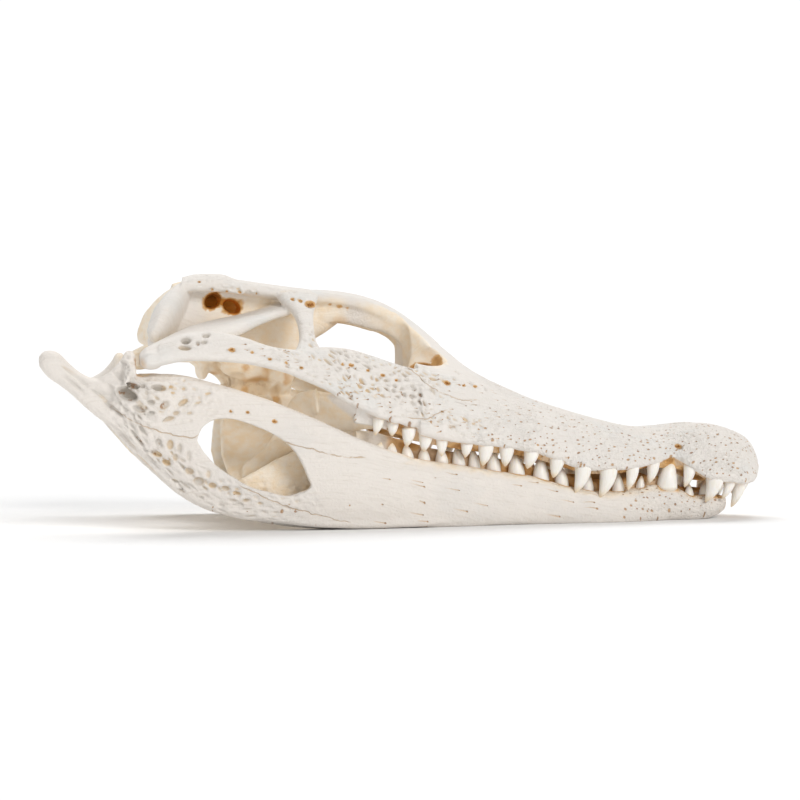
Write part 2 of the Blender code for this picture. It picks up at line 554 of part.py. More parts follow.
def keep_largest(obj):
    """Removes loose scraps and sealed hollows: everything but the largest connected skin."""
    bm = bmesh.new()
    bm.from_mesh(obj.data)
    left = set(bm.verts)
    islands = []
    while left:
        island = set()
        front = {left.pop()}
        while front:
            island |= front
            front = {e.other_vert(v) for v in front for e in v.link_edges} - island
        left -= island
        islands.append(island)
    largest = max(islands, key=len)
    bmesh.ops.delete(bm, geom=[v for v in bm.verts if v not in largest], context="VERTS")
    bm.to_mesh(obj.data)
    bm.free()


def bone_material(name):
    material = bpy.data.materials.new(name)
    material.use_nodes = True
    shader = material.node_tree.nodes["Principled BSDF"]
    shader.inputs["Base Color"].default_value = BONE_COLOUR
    shader.inputs["Roughness"].default_value = BONE_ROUGHNESS
    return material


def both_sides(*plates):
    """Shells of these right-side plates and of their mirror images."""
    return [skin(mirrored(plate_rings(rows), side)) for rows in plates for side in (RIGHT, LEFT)]


def build_cranium(material):
    """Snout with orbits and nostril carved in, then every other bone, then teeth and small openings."""
    snout = new_object("cranium", [skin(snout_rings())], material)
    windows = [ellipsoid(w["centre"], w["radii"], side) for w in (ORBIT, PALATE_WINDOW) for side in (RIGHT, LEFT)]
    naris_centre = (NARIS["x"], 0, NARIS["floor_z"] + 10)
    naris = ellipsoid(naris_centre, (NARIS["half_length"], NARIS["half_width"], 10))
    boolean(snout, "DIFFERENCE", [*windows, naris])

    table = new_object("table", [skin(plate_rings(middle_plate_rows(TABLE), 0.6))])
    hole = (TABLE_HOLE["half_length"], TABLE_HOLE["half_width"], 15)
    boolean(
        table,
        "DIFFERENCE",
        [ellipsoid((TABLE_HOLE["x"], TABLE_HOLE["y"], 88), hole, side) for side in (RIGHT, LEFT)],
    )
    braincase = new_object("braincase", [skin(plate_rings(column_rows(BRAINCASE)))])
    pockets = [ellipsoid((TABLE_HOLE["x"], TABLE_HOLE["y"], 90), hole, side) for side in (RIGHT, LEFT)]
    pockets.append(ellipsoid(FORAMEN_MAGNUM["centre"], FORAMEN_MAGNUM["radii"]))
    boolean(braincase, "DIFFERENCE", pockets)

    bones = both_sides(
        JUGAL, POSTORBITAL_BAR, QUADRATE, QUADRATE_CONDYLE, OTIC_WALL, PTERYGOID_WING, ECTOPTERYGOID,
        PREFRONTAL_CREST, SQUAMOSAL_HORN, OCCIPUT,
    )
    bones += [skin(plate_rings(middle_plate_rows(rows))) for rows in (ROOF, PALATINE)]
    bones.append(ellipsoid(OCCIPITAL_CONDYLE["centre"], OCCIPITAL_CONDYLE["radii"]))
    bones += [ellipsoid(BASAL_TUBER["centre"], BASAL_TUBER["radii"], side) for side in (RIGHT, LEFT)]
    rest = new_object("rest", bones)
    join(snout, [table, braincase, rest])
    fuse(snout, CRANIUM_TRIANGLES)
    boolean(snout, "DIFFERENCE", [ellipsoid(c, r, side) for c, r in OTIC_HOLES for side in (RIGHT, LEFT)])
    boolean(snout, "UNION", [tooth(row, side) for row in UPPER_TEETH for side in (RIGHT, LEFT)])
    return snout


def join(obj, others):
    """Adds the meshes of other objects to this one and removes them."""
    bm = bmesh.new()
    for each in (obj, *others):
        bm.from_mesh(each.data)
    bm.to_mesh(obj.data)
    bm.free()
    for each in others:
        bpy.data.objects.remove(each)


def build_mandible(material):
    """Two halves that meet at the symphysis: solid tooth-bearing front, open-topped channel behind."""
    jaw = new_object("mandible", [skin(symphysis_rings())], material)
    walls = new_object("walls", both_sides(OUTER_WALL))
    boolean(walls, "DIFFERENCE", [prism(JAW_FENESTRA, side * 75, side * 30) for side in (RIGHT, LEFT)])
    rest = new_object(
        "rest",
        both_sides(
            DENTARY, INNER_WALL, JAW_KEEL, SURANGULAR, ARTICULAR, GLENOID_RIDGE, GLENOID_SLOPE, RETROARTICULAR
        ),
    )
    join(jaw, [walls, rest])
    fuse(jaw, JAW_TRIANGLES)
    bpy.context.view_layer.update()
    boolean(jaw, "DIFFERENCE", [pit(jaw, row, side) for row in JAW_PITS for side in (RIGHT, LEFT)])
    boolean(jaw, "DIFFERENCE", [floor_block()])
    boolean(jaw, "UNION", [tooth(row, side) for row in LOWER_TEETH for side in (RIGHT, LEFT)])
    return jaw


def main():
    for obj in list(bpy.data.objects):
        bpy.data.objects.remove(obj)
    build_cranium(bone_material("cranium_bone"))
    build_mandible(bone_material("mandible_bone"))


main()
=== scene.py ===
# %% [markdown]
# # A caiman skull in dry bone
# The skull lies on a white floor, snout to the right: a long cranium that rests on its lower jaw, with
# about twenty teeth on each side of each. This lesson dresses a plain solid model of it. The solids
# give the place and size of both pieces, and the fine skin of the bone is made here.

# %% Load the frame
import itertools
import json
import math

import bmesh
import bpy
import numpy as np
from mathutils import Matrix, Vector

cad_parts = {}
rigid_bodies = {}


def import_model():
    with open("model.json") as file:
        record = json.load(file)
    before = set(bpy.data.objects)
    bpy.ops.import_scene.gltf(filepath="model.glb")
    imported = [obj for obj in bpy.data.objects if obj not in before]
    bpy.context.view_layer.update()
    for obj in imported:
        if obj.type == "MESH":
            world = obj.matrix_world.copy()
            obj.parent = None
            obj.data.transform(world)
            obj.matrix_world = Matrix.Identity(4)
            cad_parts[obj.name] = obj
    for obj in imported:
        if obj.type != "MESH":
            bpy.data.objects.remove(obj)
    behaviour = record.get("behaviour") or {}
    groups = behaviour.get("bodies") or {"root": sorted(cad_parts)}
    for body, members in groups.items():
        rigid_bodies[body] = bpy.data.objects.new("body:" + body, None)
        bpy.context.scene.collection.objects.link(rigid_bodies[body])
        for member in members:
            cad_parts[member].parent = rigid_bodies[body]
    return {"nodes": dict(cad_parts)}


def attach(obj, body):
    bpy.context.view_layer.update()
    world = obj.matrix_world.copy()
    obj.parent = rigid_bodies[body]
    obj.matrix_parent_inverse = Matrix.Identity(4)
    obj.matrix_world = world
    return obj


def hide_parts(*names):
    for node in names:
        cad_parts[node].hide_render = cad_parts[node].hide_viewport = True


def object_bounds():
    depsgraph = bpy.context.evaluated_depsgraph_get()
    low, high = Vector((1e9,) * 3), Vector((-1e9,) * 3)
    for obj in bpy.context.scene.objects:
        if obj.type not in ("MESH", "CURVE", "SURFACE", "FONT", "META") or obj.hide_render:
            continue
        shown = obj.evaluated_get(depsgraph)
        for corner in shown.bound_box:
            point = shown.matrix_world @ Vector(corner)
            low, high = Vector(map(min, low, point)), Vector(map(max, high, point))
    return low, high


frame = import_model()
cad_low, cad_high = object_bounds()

print("nodes:", sorted(frame["nodes"]), "box:", [round(float(v), 4) for v in (*cad_low, *cad_high)])

# %% [markdown]
# ## Camera
# The photograph is taken nearly side-on, from under a metre, at the height of the eye sockets. A
# camera can be moved by hand until the picture fits. Here a few numbers place it instead, because the
# far jaw and the far eye rim hide almost wholly behind the near ones, and that fixes its distance, its
# height and its turn of some degrees toward the snout.

# %% Camera
MM = 0.001
CENTRE_X = 4.35  # the bone rows below are measured from this far behind the middle of the skull, in mm
FLOOR_Z = 0.8    # and from this far below the floor
DISTANCE, ASIDE, EYE_HEIGHT, WIDTH_SEEN = 850.0, 1.67, 58.7, 312.5  # mm
TURN = 9.4  # degrees toward the snout
PIXELS, HORIZON_UP = 800, 30  # the picture's width, and how far the horizon lies above its middle
BELOW_HORIZON = HORIZON_UP * WIDTH_SEEN / PIXELS  # the same in mm, at the skull


def put_in_scene(name, data):
    """A new object that shows this mesh, lamp or camera."""
    made = bpy.data.objects.new(name, data)
    bpy.context.scene.collection.objects.link(made)
    return made


camera = bpy.data.cameras.new("camera")
camera.sensor_width = 36
camera.lens = camera.sensor_width * DISTANCE / WIDTH_SEEN
camera.clip_start, camera.clip_end = 0.02, 20
camera_object = put_in_scene("camera", camera)
ahead = Vector((math.sin(math.radians(TURN)), math.cos(math.radians(TURN)), 0))
rightward = Vector((ahead.y, -ahead.x, 0))
camera_object.location = (ASIDE * rightward - DISTANCE * ahead + Vector((-CENTRE_X, 0, EYE_HEIGHT))) * MM
sight = ahead - Vector((0, 0, BELOW_HORIZON / DISTANCE))
camera_object.rotation_euler = sight.to_track_quat("-Z", "Y").to_euler()
bpy.context.scene.camera = camera_object
print(f"lens {camera.lens:.1f} mm at {DISTANCE:.0f} mm")

# %% [markdown]
# ## Splines and skins
# A bone could be sculpted, or extruded ring by ring. Here it is drawn as a few cross-sections and
# everything between them is computed, so a number can be corrected without modelling anything again. A
# Catmull-Rom spline passes through all its points, so the numbers that are measured are the numbers
# that appear. The skin over a stack of rings is a grid of squares, closed by a cap at each end.


# %% Splines
def tilted(x, z, degrees):
    """The same places on axes that are tipped up by this slope."""
    c, s = math.cos(math.radians(degrees)), math.sin(math.radians(degrees))
    return x * c + z * s, z * c - x * s


def through(rows, steps):
    """Catmull-Rom spline through the rows: a cubic per gap whose slopes come from the neighbours."""
    rows = np.asarray(rows, float)
    padded = np.vstack([2 * rows[0] - rows[1], rows, 2 * rows[-1] - rows[-2]])
    t = (np.arange(steps) / steps)[None, :, None]
    p0, p1, p2, p3 = (padded[i:i + len(rows) - 1, None, :] for i in range(4))
    spans = 0.5 * (2 * p1 + (p2 - p0) * t + (2 * p0 - 5 * p1 + 4 * p2 - p3) * t**2
                   + (3 * p1 - p0 - 3 * p2 + p3) * t**3)
    return np.vstack([spans.reshape(-1, rows.shape[1]), rows[-1:]])


def through_ring(rings, steps):
    """The same spline round closed rings, an array of rings x points x 3, with steps per gap."""
    before, after, next_after = (np.roll(rings, s, axis=1)[:, :, None] for s in (1, -1, -2))
    here = rings[:, :, None]
    t = (np.arange(steps) / steps)[None, None, :, None]
    spans = 0.5 * (2 * here + (after - before) * t + (2 * before - 5 * here + 4 * after - next_after) * t**2
                   + (3 * here - before - 3 * after + next_after) * t**3)
    return spans.reshape(len(rings), -1, 3)


def profile(points, x):
    """Height of a smooth outline, given as (x, value) points, at each x."""
    dense = through(points, 12)
    order = np.argsort(dense[:, 0])
    return np.interp(x, dense[order, 0], dense[order, 1])


def smooth_step(low, high, value):
    """0 below low, 1 above high, and the curve 3t^2 - 2t^3 between; high may be the smaller one."""
    t = np.clip((value - low) / (high - low), 0, 1)
    return t * t * (3 - 2 * t)


def faded(strength, *ramps):
    """A strength times one smooth step for each (low, high, value)."""
    for ramp in ramps:
        strength = strength * smooth_step(*ramp)
    return strength


print("spline through 3 rows at 2 steps:", through([[0], [1], [4]], 2).ravel())


# %% Skins
def skin(rings):
    """Points and faces of a closed skin over rings x points x 3: squares between rings, a cap at each end."""
    count, around, _ = rings.shape
    ring, spot = np.meshgrid(np.arange(count - 1), np.arange(around), indexing="ij")
    here, beside = ring * around + spot, ring * around + (spot + 1) % around
    faces = np.stack((here, beside, beside + around, here + around), axis=-1).reshape(-1, 4).tolist()
    faces += [list(range(around))[::-1], list(range((count - 1) * around, count * around))]
    return rings.reshape(-1, 3), faces


ROW_STEPS = 6  # rings per row of a plate


def plate_rings(rows, fullness=0.75, around=36):
    """A bone between two edges: each ring is a squared oval whose long axis joins edge A to edge B."""
    rows = through(rows, ROW_STEPS)
    edge_a, edge_b, thickness = rows[:, 0:3], rows[:, 3:6], rows[:, 6]
    bulge = rows[:, 7] if rows.shape[1] > 7 else np.zeros(len(rows))
    middle, half = (edge_a + edge_b) / 2, (edge_a - edge_b) / 2
    face = np.cross(np.gradient(middle, axis=0), half)
    face /= np.linalg.norm(face, axis=1, keepdims=True)
    face *= np.where(face[:, 1:2] * middle[:, 1:2] < 0, -1, 1)
    angle = np.linspace(0, 2 * math.pi, around, endpoint=False)
    across = np.sign(np.cos(angle)) * np.abs(np.cos(angle)) ** fullness
    out = np.sign(np.sin(angle)) * np.abs(np.sin(angle)) ** fullness
    height = out * thickness[:, None] / 2 + bulge[:, None] * (1 - across**2)
    return middle[:, None] + half[:, None] * across[None, :, None] + face[:, None] * height[:, :, None]


def both_sides(*tables):
    """Skins of right-side plates and of their mirror images across the middle plane."""
    return [skin(plate_rings(rows) * (1, side, 1)) for rows in tables for side in (1, -1)]


def middle_plate(rows, fullness):
    """Skin of a plate that crosses the middle, from rows of (x, half width, z, thickness)."""
    rows = [(x, -half, z, x, half, z, thick) for x, half, z, thick in rows]
    return skin(plate_rings(rows, fullness, around=48))


def upright_plate(rows):
    """Skin of a column in the middle, from rows of (x, top, bottom, width)."""
    return skin(plate_rings([(x, 0, top, x, 0, bottom, width) for x, top, bottom, width in rows], around=48))


def oval(centre, radii, side=1, slope=0):
    """A sphere stretched to three radii, tipped up toward the snout by a slope, as points and faces."""
    bm = bmesh.new()
    bmesh.ops.create_icosphere(bm, subdivisions=5, radius=1)
    points = np.array([v.co for v in bm.verts]) * radii
    faces = [[v.index for v in face.verts] for face in bm.faces]
    bm.free()
    x, z = tilted(points[:, 0], points[:, 2], -slope)
    return np.stack([x, points[:, 1], z], axis=1) + np.array(centre) * (1, side, 1), faces


def sheet_of(name, shells):
    """One mesh object in metres from shells of (points in mm, faces), each turned to face outwards."""
    points, faces, count = [], [], 0
    for shell_points, shell_faces in shells:
        points.append(shell_points)
        faces += [[i + count for i in face] for face in shell_faces]
        count += len(shell_points)
    mesh = bpy.data.meshes.new(name)
    mesh.from_pydata((np.vstack(points) - (CENTRE_X, 0, FLOOR_Z)) * MM, [], faces)
    bm = bmesh.new()
    bm.from_mesh(mesh)
    bmesh.ops.recalc_face_normals(bm, faces=bm.faces)
    bm.to_mesh(mesh)
    bm.free()
    return put_in_scene(name, mesh)


print("a plate ring has", plate_rings([(0, 0, 0, 0, 0, 9, 3), (9, 0, 0, 9, 0, 9, 3)]).shape[1], "points")

# %% [markdown]
# ## Cutting and growing together
# The bones of a skull grow together, and the openings for eyes, ears and nerves stay free between
# them. A Boolean could unite the overlapping skins, but it would leave a hard crease wherever two of
# them meet. Remesh melts them into one skin on a fine grid instead, and relaxing the steps of that
# grid leaves the soft passages of grown bone. Openings are cut by Boolean, because their rims should
# be crisp.


# %% Keep, cut and fuse
def keep_modifiers(piece):
    """Bakes what the modifiers show into the object's own mesh."""
    made = bpy.data.meshes.new_from_object(piece.evaluated_get(bpy.context.evaluated_depsgraph_get()))
    piece.modifiers.clear()
    piece.data = made


def carve(piece, shells):
    """Cuts each shell out of the piece with an exact Boolean."""
    for number, shell in enumerate(shells):
        tool = sheet_of(f"{piece.name}_cutter_{number}", [shell])
        cut = piece.modifiers.new(f"cut_{number}", "BOOLEAN")
        cut.operation, cut.solver, cut.object = "DIFFERENCE", "EXACT", tool
    keep_modifiers(piece)
    for tool in [o for o in bpy.data.objects if o.name.startswith(f"{piece.name}_cutter_")]:
        bpy.data.objects.remove(tool)


def gather(piece, others):
    """Moves the meshes of the others into the piece."""
    bm = bmesh.new()
    for each in (piece, *others):
        bm.from_mesh(each.data)
    bm.to_mesh(piece.data)
    bm.free()
    for each in others:
        bpy.data.objects.remove(each)


FUSE_VOXEL, FUSE_ROUNDS = 0.5 * MM, 4


def fuse(piece):
    """Grows overlapping bones into one skin on a fine grid, then relaxes the steps of the grid."""
    grid = piece.modifiers.new("grid", "REMESH")
    grid.mode, grid.voxel_size, grid.use_smooth_shade = "VOXEL", FUSE_VOXEL, True
    relax = piece.modifiers.new("relax", "SMOOTH")
    relax.factor, relax.iterations = 0.5, FUSE_ROUNDS
    keep_modifiers(piece)
    keep_largest(piece)


def keep_largest(piece):
    """Drops loose scraps and sealed hollows by spreading the lowest vertex number along the edges."""
    mesh = piece.data
    edges = np.empty(len(mesh.edges) * 2, np.int64)
    mesh.edges.foreach_get("vertices", edges)
    a, b = edges.reshape(-1, 2).T
    label = np.arange(len(mesh.vertices))
    while True:
        low = np.minimum(label[a], label[b])
        fresh = label.copy()
        np.minimum.at(fresh, a, low)
        np.minimum.at(fresh, b, low)
        fresh = np.minimum(fresh, fresh[fresh])
        fresh = fresh[fresh]
        if np.array_equal(fresh, label):
            break
        label = fresh
    names, sizes = np.unique(label, return_counts=True)
    stray = label != names[np.argmax(sizes)]
    if stray.any():
        bm = bmesh.new()
        bm.from_mesh(mesh)
        bm.verts.ensure_lookup_table()
        bmesh.ops.delete(bm, geom=[bm.verts[i] for i in np.nonzero(stray)[0]], context="VERTS")
        bm.to_mesh(mesh)
        bm.free()
    print(piece.name, "islands:", len(names), "kept vertices:", int(sizes.max()))


print(f"bones fuse on a grid of {FUSE_VOXEL / MM} mm")

# %% [markdown]
# ## Tooth rows
# A caiman's teeth differ in size, lean and spacing, so copies of one tooth along a curve would look
# too even. Each tooth is a row of its own: its socket (x, y, z), its tip (x, z) and its length along
# the jaw. The rows come before the bones, because dried tissue stands between the teeth on the
# tongue's side, the bone swells over each root, and stain and painted shadow follow the sockets.

# %% Tooth rows
UPPER_TEETH = [
    (-14.4, -49, 41.8, -15.5, 35.4, 3.9), (-8.7, -47.6, 39.8, -8.9, 35, 3.9),
    (-2.6, -46.4, 37.6, -3.2, 31, 4.7), (4, -45, 35.6, 3.5, 29, 4.7), (10.5, -43.4, 34.2, 10.5, 27.2, 4.1),
    (20.4, -40.9, 32.4, 20, 26.6, 4.2), (28, -38.9, 31.4, 27.1, 23.4, 5.3),
    (36.5, -36.9, 30.6, 36.1, 23, 5.2), (46.4, -34.8, 28.8, 45.2, 22, 5.3),
    (56.8, -33.2, 25.8, 55.7, 18.4, 5.2), (67, -31.9, 22.6, 64.6, 12.4, 5.8),
    (77.4, -30, 21.8, 74.8, 10.4, 6.2), (88, -27.2, 22.6, 86.6, 13, 4.6),
    (97.5, -22.9, 23.8, 96.3, 15.4, 4.6), (112.6, -21.6, 22.4, 111, 13.6, 4.6),
    (122.5, -21.6, 17.8, 119.6, 7.8, 6.4), (129.5, -18.8, 16.6, 127, 8.6, 4.2),
    (134.8, -14.2, 16.2, 132.3, 5.2, 5), (139.6, -6.6, 16.2, 138.2, 9.6, 3.8),
]
LOWER_TEETH = [
    (-13.1, -42.6, 28, -12.3, 32.8, 3.8), (-8.4, -41.8, 27.2, -8, 32.4, 4.2),
    (-2.2, -40.2, 26.2, -2.6, 31.8, 4.4), (4.4, -38.6, 25.2, 4.4, 30.6, 4.4),
    (11.4, -36.8, 24.4, 11, 30.6, 4.5), (18.1, -35.2, 23.2, 17.4, 30.4, 4.6),
    (24.5, -33.7, 22, 24.1, 29.8, 4.2), (32.4, -31.8, 20.8, 32.4, 29.2, 5),
    (41.5, -29.9, 19.4, 40.8, 28, 5.8), (51.6, -28, 17.2, 51.7, 26.4, 5.8),
    (60, -26.4, 14.8, 59.4, 23.4, 5), (71, -24.2, 12.4, 71.2, 20.4, 4.4),
    (83.7, -21.8, 12.2, 83.5, 20.2, 4.4), (93.3, -19.6, 13.2, 94, 18.4, 3.2),
    (104.6, -18.9, 13.4, 106.4, 25.2, 7.2), (114.1, -15.6, 9.6, 114.3, 14.8, 3.6),
    (120.6, -13.8, 9.8, 121.6, 15.8, 3.6), (126.6, -9.4, 9.6, 128.4, 15.6, 3.8),
]

# Height of the tissue that stands on the lower jaw, at these places along it.
TISSUE_AT, TISSUE_HIGH = (-14, 14, 60, 98, 112), (8.2, 4.8, 5.4, 5.4, 2.6)
TISSUE_BEHIND, TISSUE_THICK = 3.3, 2.4  # from the sockets toward the tongue, in mm


def tissue(teeth, up):
    """A low wall on the tongue's side of a tooth row, higher behind where the jaws stand further apart."""
    rows = np.array([row[:3] for row in teeth])
    rows = np.concatenate([rows[:1] + (-9, -1.5, 1.5), rows])
    above = np.interp(rows[:, 0], (0, 60), (3.4, 2.4))
    below = np.interp(rows[:, 0], TISSUE_AT, TISSUE_HIGH)
    made = []
    for (x, y, z), free in zip(rows.tolist(), (below if up < 0 else above).tolist()):
        y += TISSUE_BEHIND
        made.append((x, y, z + 3 * up, x, y, z - free * up, TISSUE_THICK))
    return made


print("teeth on one side:", len(UPPER_TEETH), "above,", len(LOWER_TEETH), "below")

# %% [markdown]
# ## The snout
# The snout is a long vault of bone with rounded shoulders. It could be cut from a block, but it is
# known by its outlines, so it is one loft that five curves drive: its top line, its shoulder, its
# tooth margin, its plan and the width of its flat top. The margin dips and rises in the slow wave that
# all crocodilians have, and the plan is pinched where the big lower tooth stands beside it. The
# nostril, the eye sockets and the windows of the palate are carved afterwards.

# %% Snout outlines
SNOUT_TOP = [
    (146.6, 24), (145.4, 27.5), (142, 31.5), (137, 34.8), (129, 37.4), (121, 38.8), (114, 38.3),
    (106, 37.4), (97, 37), (88, 38.1), (78, 40.5), (66, 43.8), (52, 48.3), (40, 53.3), (28, 59.4),
    (18, 67.2), (9, 75.2), (1, 81),
]
SNOUT_SHOULDER = [
    (146, 23), (142, 28), (136, 31.2), (128, 33.6), (118, 34.8), (106, 33.2), (94, 33.2), (80, 35.2),
    (64, 38.8), (48, 43.8), (34, 49.2), (22, 54.8), (14, 58.3), (6, 59.6), (1, 60.6),
]
SNOUT_MARGIN = [
    (146.6, 20.5), (144, 16.8), (139, 14.7), (130, 15.2), (121, 16.6), (114, 20.3), (106.5, 25), (99, 23.2),
    (90, 21.6), (80, 20.8), (70, 20.9), (61, 23.2), (50, 27.2), (36, 30), (22, 31.6), (8, 33.6), (1, 35.6),
]
SNOUT_HALF_WIDTH = [
    (146.6, 3), (145, 8), (141, 14), (136, 18.8), (129, 22.6), (121, 24.4), (113, 23.8), (106.5, 22.4),
    (100, 23.6), (90, 28.6), (80, 31.8), (68, 33.6), (52, 36), (36, 39.8), (20, 44.4), (8, 48.4), (1, 50.4),
]
SNOUT_CREST = [(146, 1.5), (138, 8), (120, 12), (100, 12), (70, 16), (40, 17), (20, 14.5), (8, 11.5), (1, 10)]
SNOUT_STATIONS = [
    146.6, 145, 142.4, 139, 134.5, 129, 122, 114.5, 107, 100, 92, 82, 70, 58, 46, 35, 25, 16, 8, 1,
]


def mirrored_rings(x, half):
    """Closed rings at each x from (side, height) arrays that run down the right half, top to bottom."""
    half = np.stack([np.stack([x, -y, z], axis=-1) for y, z in half], axis=1)
    return through_ring(np.concatenate([half, half[:, -2:0:-1] * (1, -1, 1)], axis=1), 4)


def snout_rings():
    """Sections from the top over crest, shoulder and widest line to the margin and the hollow palate."""
    x = through([[s] for s in SNOUT_STATIONS], 4)[:, 0]
    top, shoulder, margin = (profile(p, x) for p in (SNOUT_TOP, SNOUT_SHOULDER, SNOUT_MARGIN))
    wide, crest = profile(SNOUT_HALF_WIDTH, x), profile(SNOUT_CREST, x)
    lift = top - margin
    half = [
        (0 * wide, top), (0.6 * crest, top), (1.15 * crest, top - 0.05 * lift), (0.82 * wide, shoulder),
        (0.95 * wide, 0.45 * shoulder + 0.55 * (margin + 0.3 * lift)), (wide, margin + 0.24 * lift),
        (0.985 * wide, margin + 0.06 * lift), (0.92 * wide, margin), (0.82 * wide, margin + 0.06 * lift),
        (0.60 * wide, margin + 0.13 * lift), (0 * wide, margin + 0.17 * lift),
    ]
    return mirrored_rings(x, half)


NARIS = ((120.5, 0, 39.0), (8.5, 7.5, 10.0))
ORBIT = ((-13.5, 24.6, 75.0), (24.5, 14.2, 24.0))
PALATE_WINDOW = ((2.0, 23.5, 38.0), (33.0, 13.0, 18.0))
skull = sheet_of("skull", [skin(snout_rings())])
carve(skull, [oval(*NARIS), *(oval(*hole, side) for hole in (ORBIT, PALATE_WINDOW) for side in (-1, 1))])
print("snout faces:", len(skull.data.polygons))

# %% [markdown]
# ## The bones behind the snout
# Behind the snout the skull is a frame of bars and thin walls. A bar could be a curve with a bevel,
# but its section would keep one form from end to end. Here each bone is a plate between two edges: a
# row holds a point on each edge and the thickness there, so a bone that twists, like the cheek bar or
# the quadrate that carries the jaw joint, is a few rows. Only the right side is written down. The
# braincase and the table on top cross the middle.

# %% Cheek, bars and jaw joint
JUGAL = [
    (27, -34, 53, 26, -37, 40, 3), (17, -38.6, 57, 15, -40.6, 36.6, 6), (7, -40.8, 58.6, 4, -45, 37.6, 7.5),
    (-5, -42, 61, -8, -49, 40.2, 7.5), (-15, -43, 64.2, -17, -51.2, 43.2, 7.5),
    (-24, -44, 66.8, -26, -53.4, 47.4, 7), (-32, -45.5, 67.6, -33, -55.2, 51.8, 6.5),
    (-39, -47.5, 67.2, -41, -56.4, 55.4, 6), (-47, -51, 66.4, -49, -57.6, 58.8, 5.5),
    (-56, -53.4, 67.8, -58, -58.6, 61, 5.5), (-65, -54.6, 71, -66, -59.4, 62.2, 5.5),
    (-76, -54.6, 73, -77, -60.2, 62.9, 5.5), (-87, -54.8, 72, -87, -60.6, 62.9, 6),
    (-95, -56, 68.4, -95, -60.4, 61.4, 6),
]
POSTORBITAL_BAR = [
    (-34.5, -46, 64.5, -46.5, -49, 64.5, 6), (-36.8, -43.4, 69.5, -43.4, -44.4, 69.5, 5),
    (-37.2, -39.6, 75, -43, -40, 75, 5), (-36.6, -34.8, 80.5, -44.6, -34.8, 80.5, 5.5),
    (-34, -28, 87, -50, -29.5, 87, 6.5),
]
QUADRATE = [
    (-44, -31, 81.2, -48, -17, 86, 4), (-51, -35.5, 79.4, -56, -19, 81.5, 4),
    (-58, -41, 76.8, -65, -22, 78.6, 4.5), (-65.5, -48, 73.2, -74, -26, 76.6, 5.5),
    (-75, -54, 69.4, -82, -32, 74.2, 6.5), (-86, -58, 66.4, -89, -38, 70.6, 7),
    (-94, -60.2, 64.4, -94.5, -43, 67, 7.5), (-99, -60.6, 63.2, -98.6, -46, 64.2, 7.5),
]
QUADRATE_CONDYLE = [
    (-97.4, -44.4, 66.4, -97.4, -44.4, 61.4, 4.5), (-97.6, -48, 67.2, -97.6, -48, 59.6, 8.5),
    (-97.9, -53, 66.8, -97.9, -53, 60.4, 7.5), (-97.9, -58, 66.2, -97.9, -58, 59.7, 8),
    (-97.4, -61.6, 65.4, -97.4, -61.6, 61.4, 4.5),
]
OCCIPUT = [
    (-79.5, 1, 91.6, -84.5, 1, 79.5, 5), (-80, -12, 92, -86.5, -12, 71.5, 5),
    (-81.6, -25, 92.2, -89.5, -25, 69.5, 5.5), (-85.2, -33, 91.6, -94, -35, 69, 6),
    (-90, -37.5, 87.8, -97, -42, 70.2, 6), (-94.2, -40.4, 83.6, -98, -44.2, 73, 4.5),
]
OTIC_WALL = [
    (-44, -18, 90, -46, -17, 80, 5), (-60, -20.5, 90.5, -62, -19.5, 77, 5), (-74, -22, 91, -76, -23, 75, 5),
    (-86, -27, 90.5, -88, -29, 72, 5),
]
SQUAMOSAL_HORN = [
    (-62, -31.5, 88.6, -62, -26, 90.6, 4), (-70, -33, 90.5, -70, -27, 93, 6),
    (-79, -34.2, 90.6, -79, -28, 93.2, 6), (-86, -35.4, 89.4, -85, -30, 92.6, 5),
]
outer_bones = both_sides(JUGAL, POSTORBITAL_BAR, QUADRATE, QUADRATE_CONDYLE, OCCIPUT, OTIC_WALL,
                         SQUAMOSAL_HORN)
print("outer bones:", len(outer_bones), "skins")

# %% Palate and crests
PTERYGOID_WING = [
    (-69, -5, 53.5, -70, -27, 27, 3.2), (-66, -5, 52, -66.5, -31.8, 18.6, 3.8),
    (-59, -5, 48.5, -60, -33.4, 20.6, 4.2), (-51, -5, 45.5, -52, -34, 27.6, 4.2),
    (-44, -5, 44, -44.5, -33, 35.6, 4), (-38, -5, 43, -38.5, -27, 41, 3.6),
]
ECTOPTERYGOID = [
    (-10, -44.5, 39, -27, -50, 50, 5), (-19, -41.5, 37.6, -34, -45, 51, 4.4),
    (-30, -38.5, 35.6, -38.6, -41, 52, 4), (-43, -36, 30, -45.4, -37.3, 48.6, 4),
    (-54, -34.6, 23.6, -54, -35.4, 32, 4), (-63, -33.2, 19.2, -63, -33.4, 24.2, 3.6),
]
# A thin upright ridge under the cheek, too small for the solid model.
ECTOPTERYGOID_RIM = [
    (-37, -45.6, 53, -36.2, -45.2, 43.6, 1.4), (-38, -41, 51.4, -36.6, -40.6, 42.6, 1.9),
]
PREFRONTAL_CREST = [
    (8, -8, 71.5, 5.6, -7, 62, 3.6), (-1, -7.6, 79, -2, -6.4, 71.4, 3.4),
    (-12, -7, 84, -12, -5.8, 75.6, 3.2), (-23, -7, 86, -23, -5.8, 77.8, 3.2), (-34, -9, 87, -34, -7, 77, 4),
]
print("rows of a palate wing:", len(PTERYGOID_WING), "and of the bar beside it:", len(ECTOPTERYGOID))

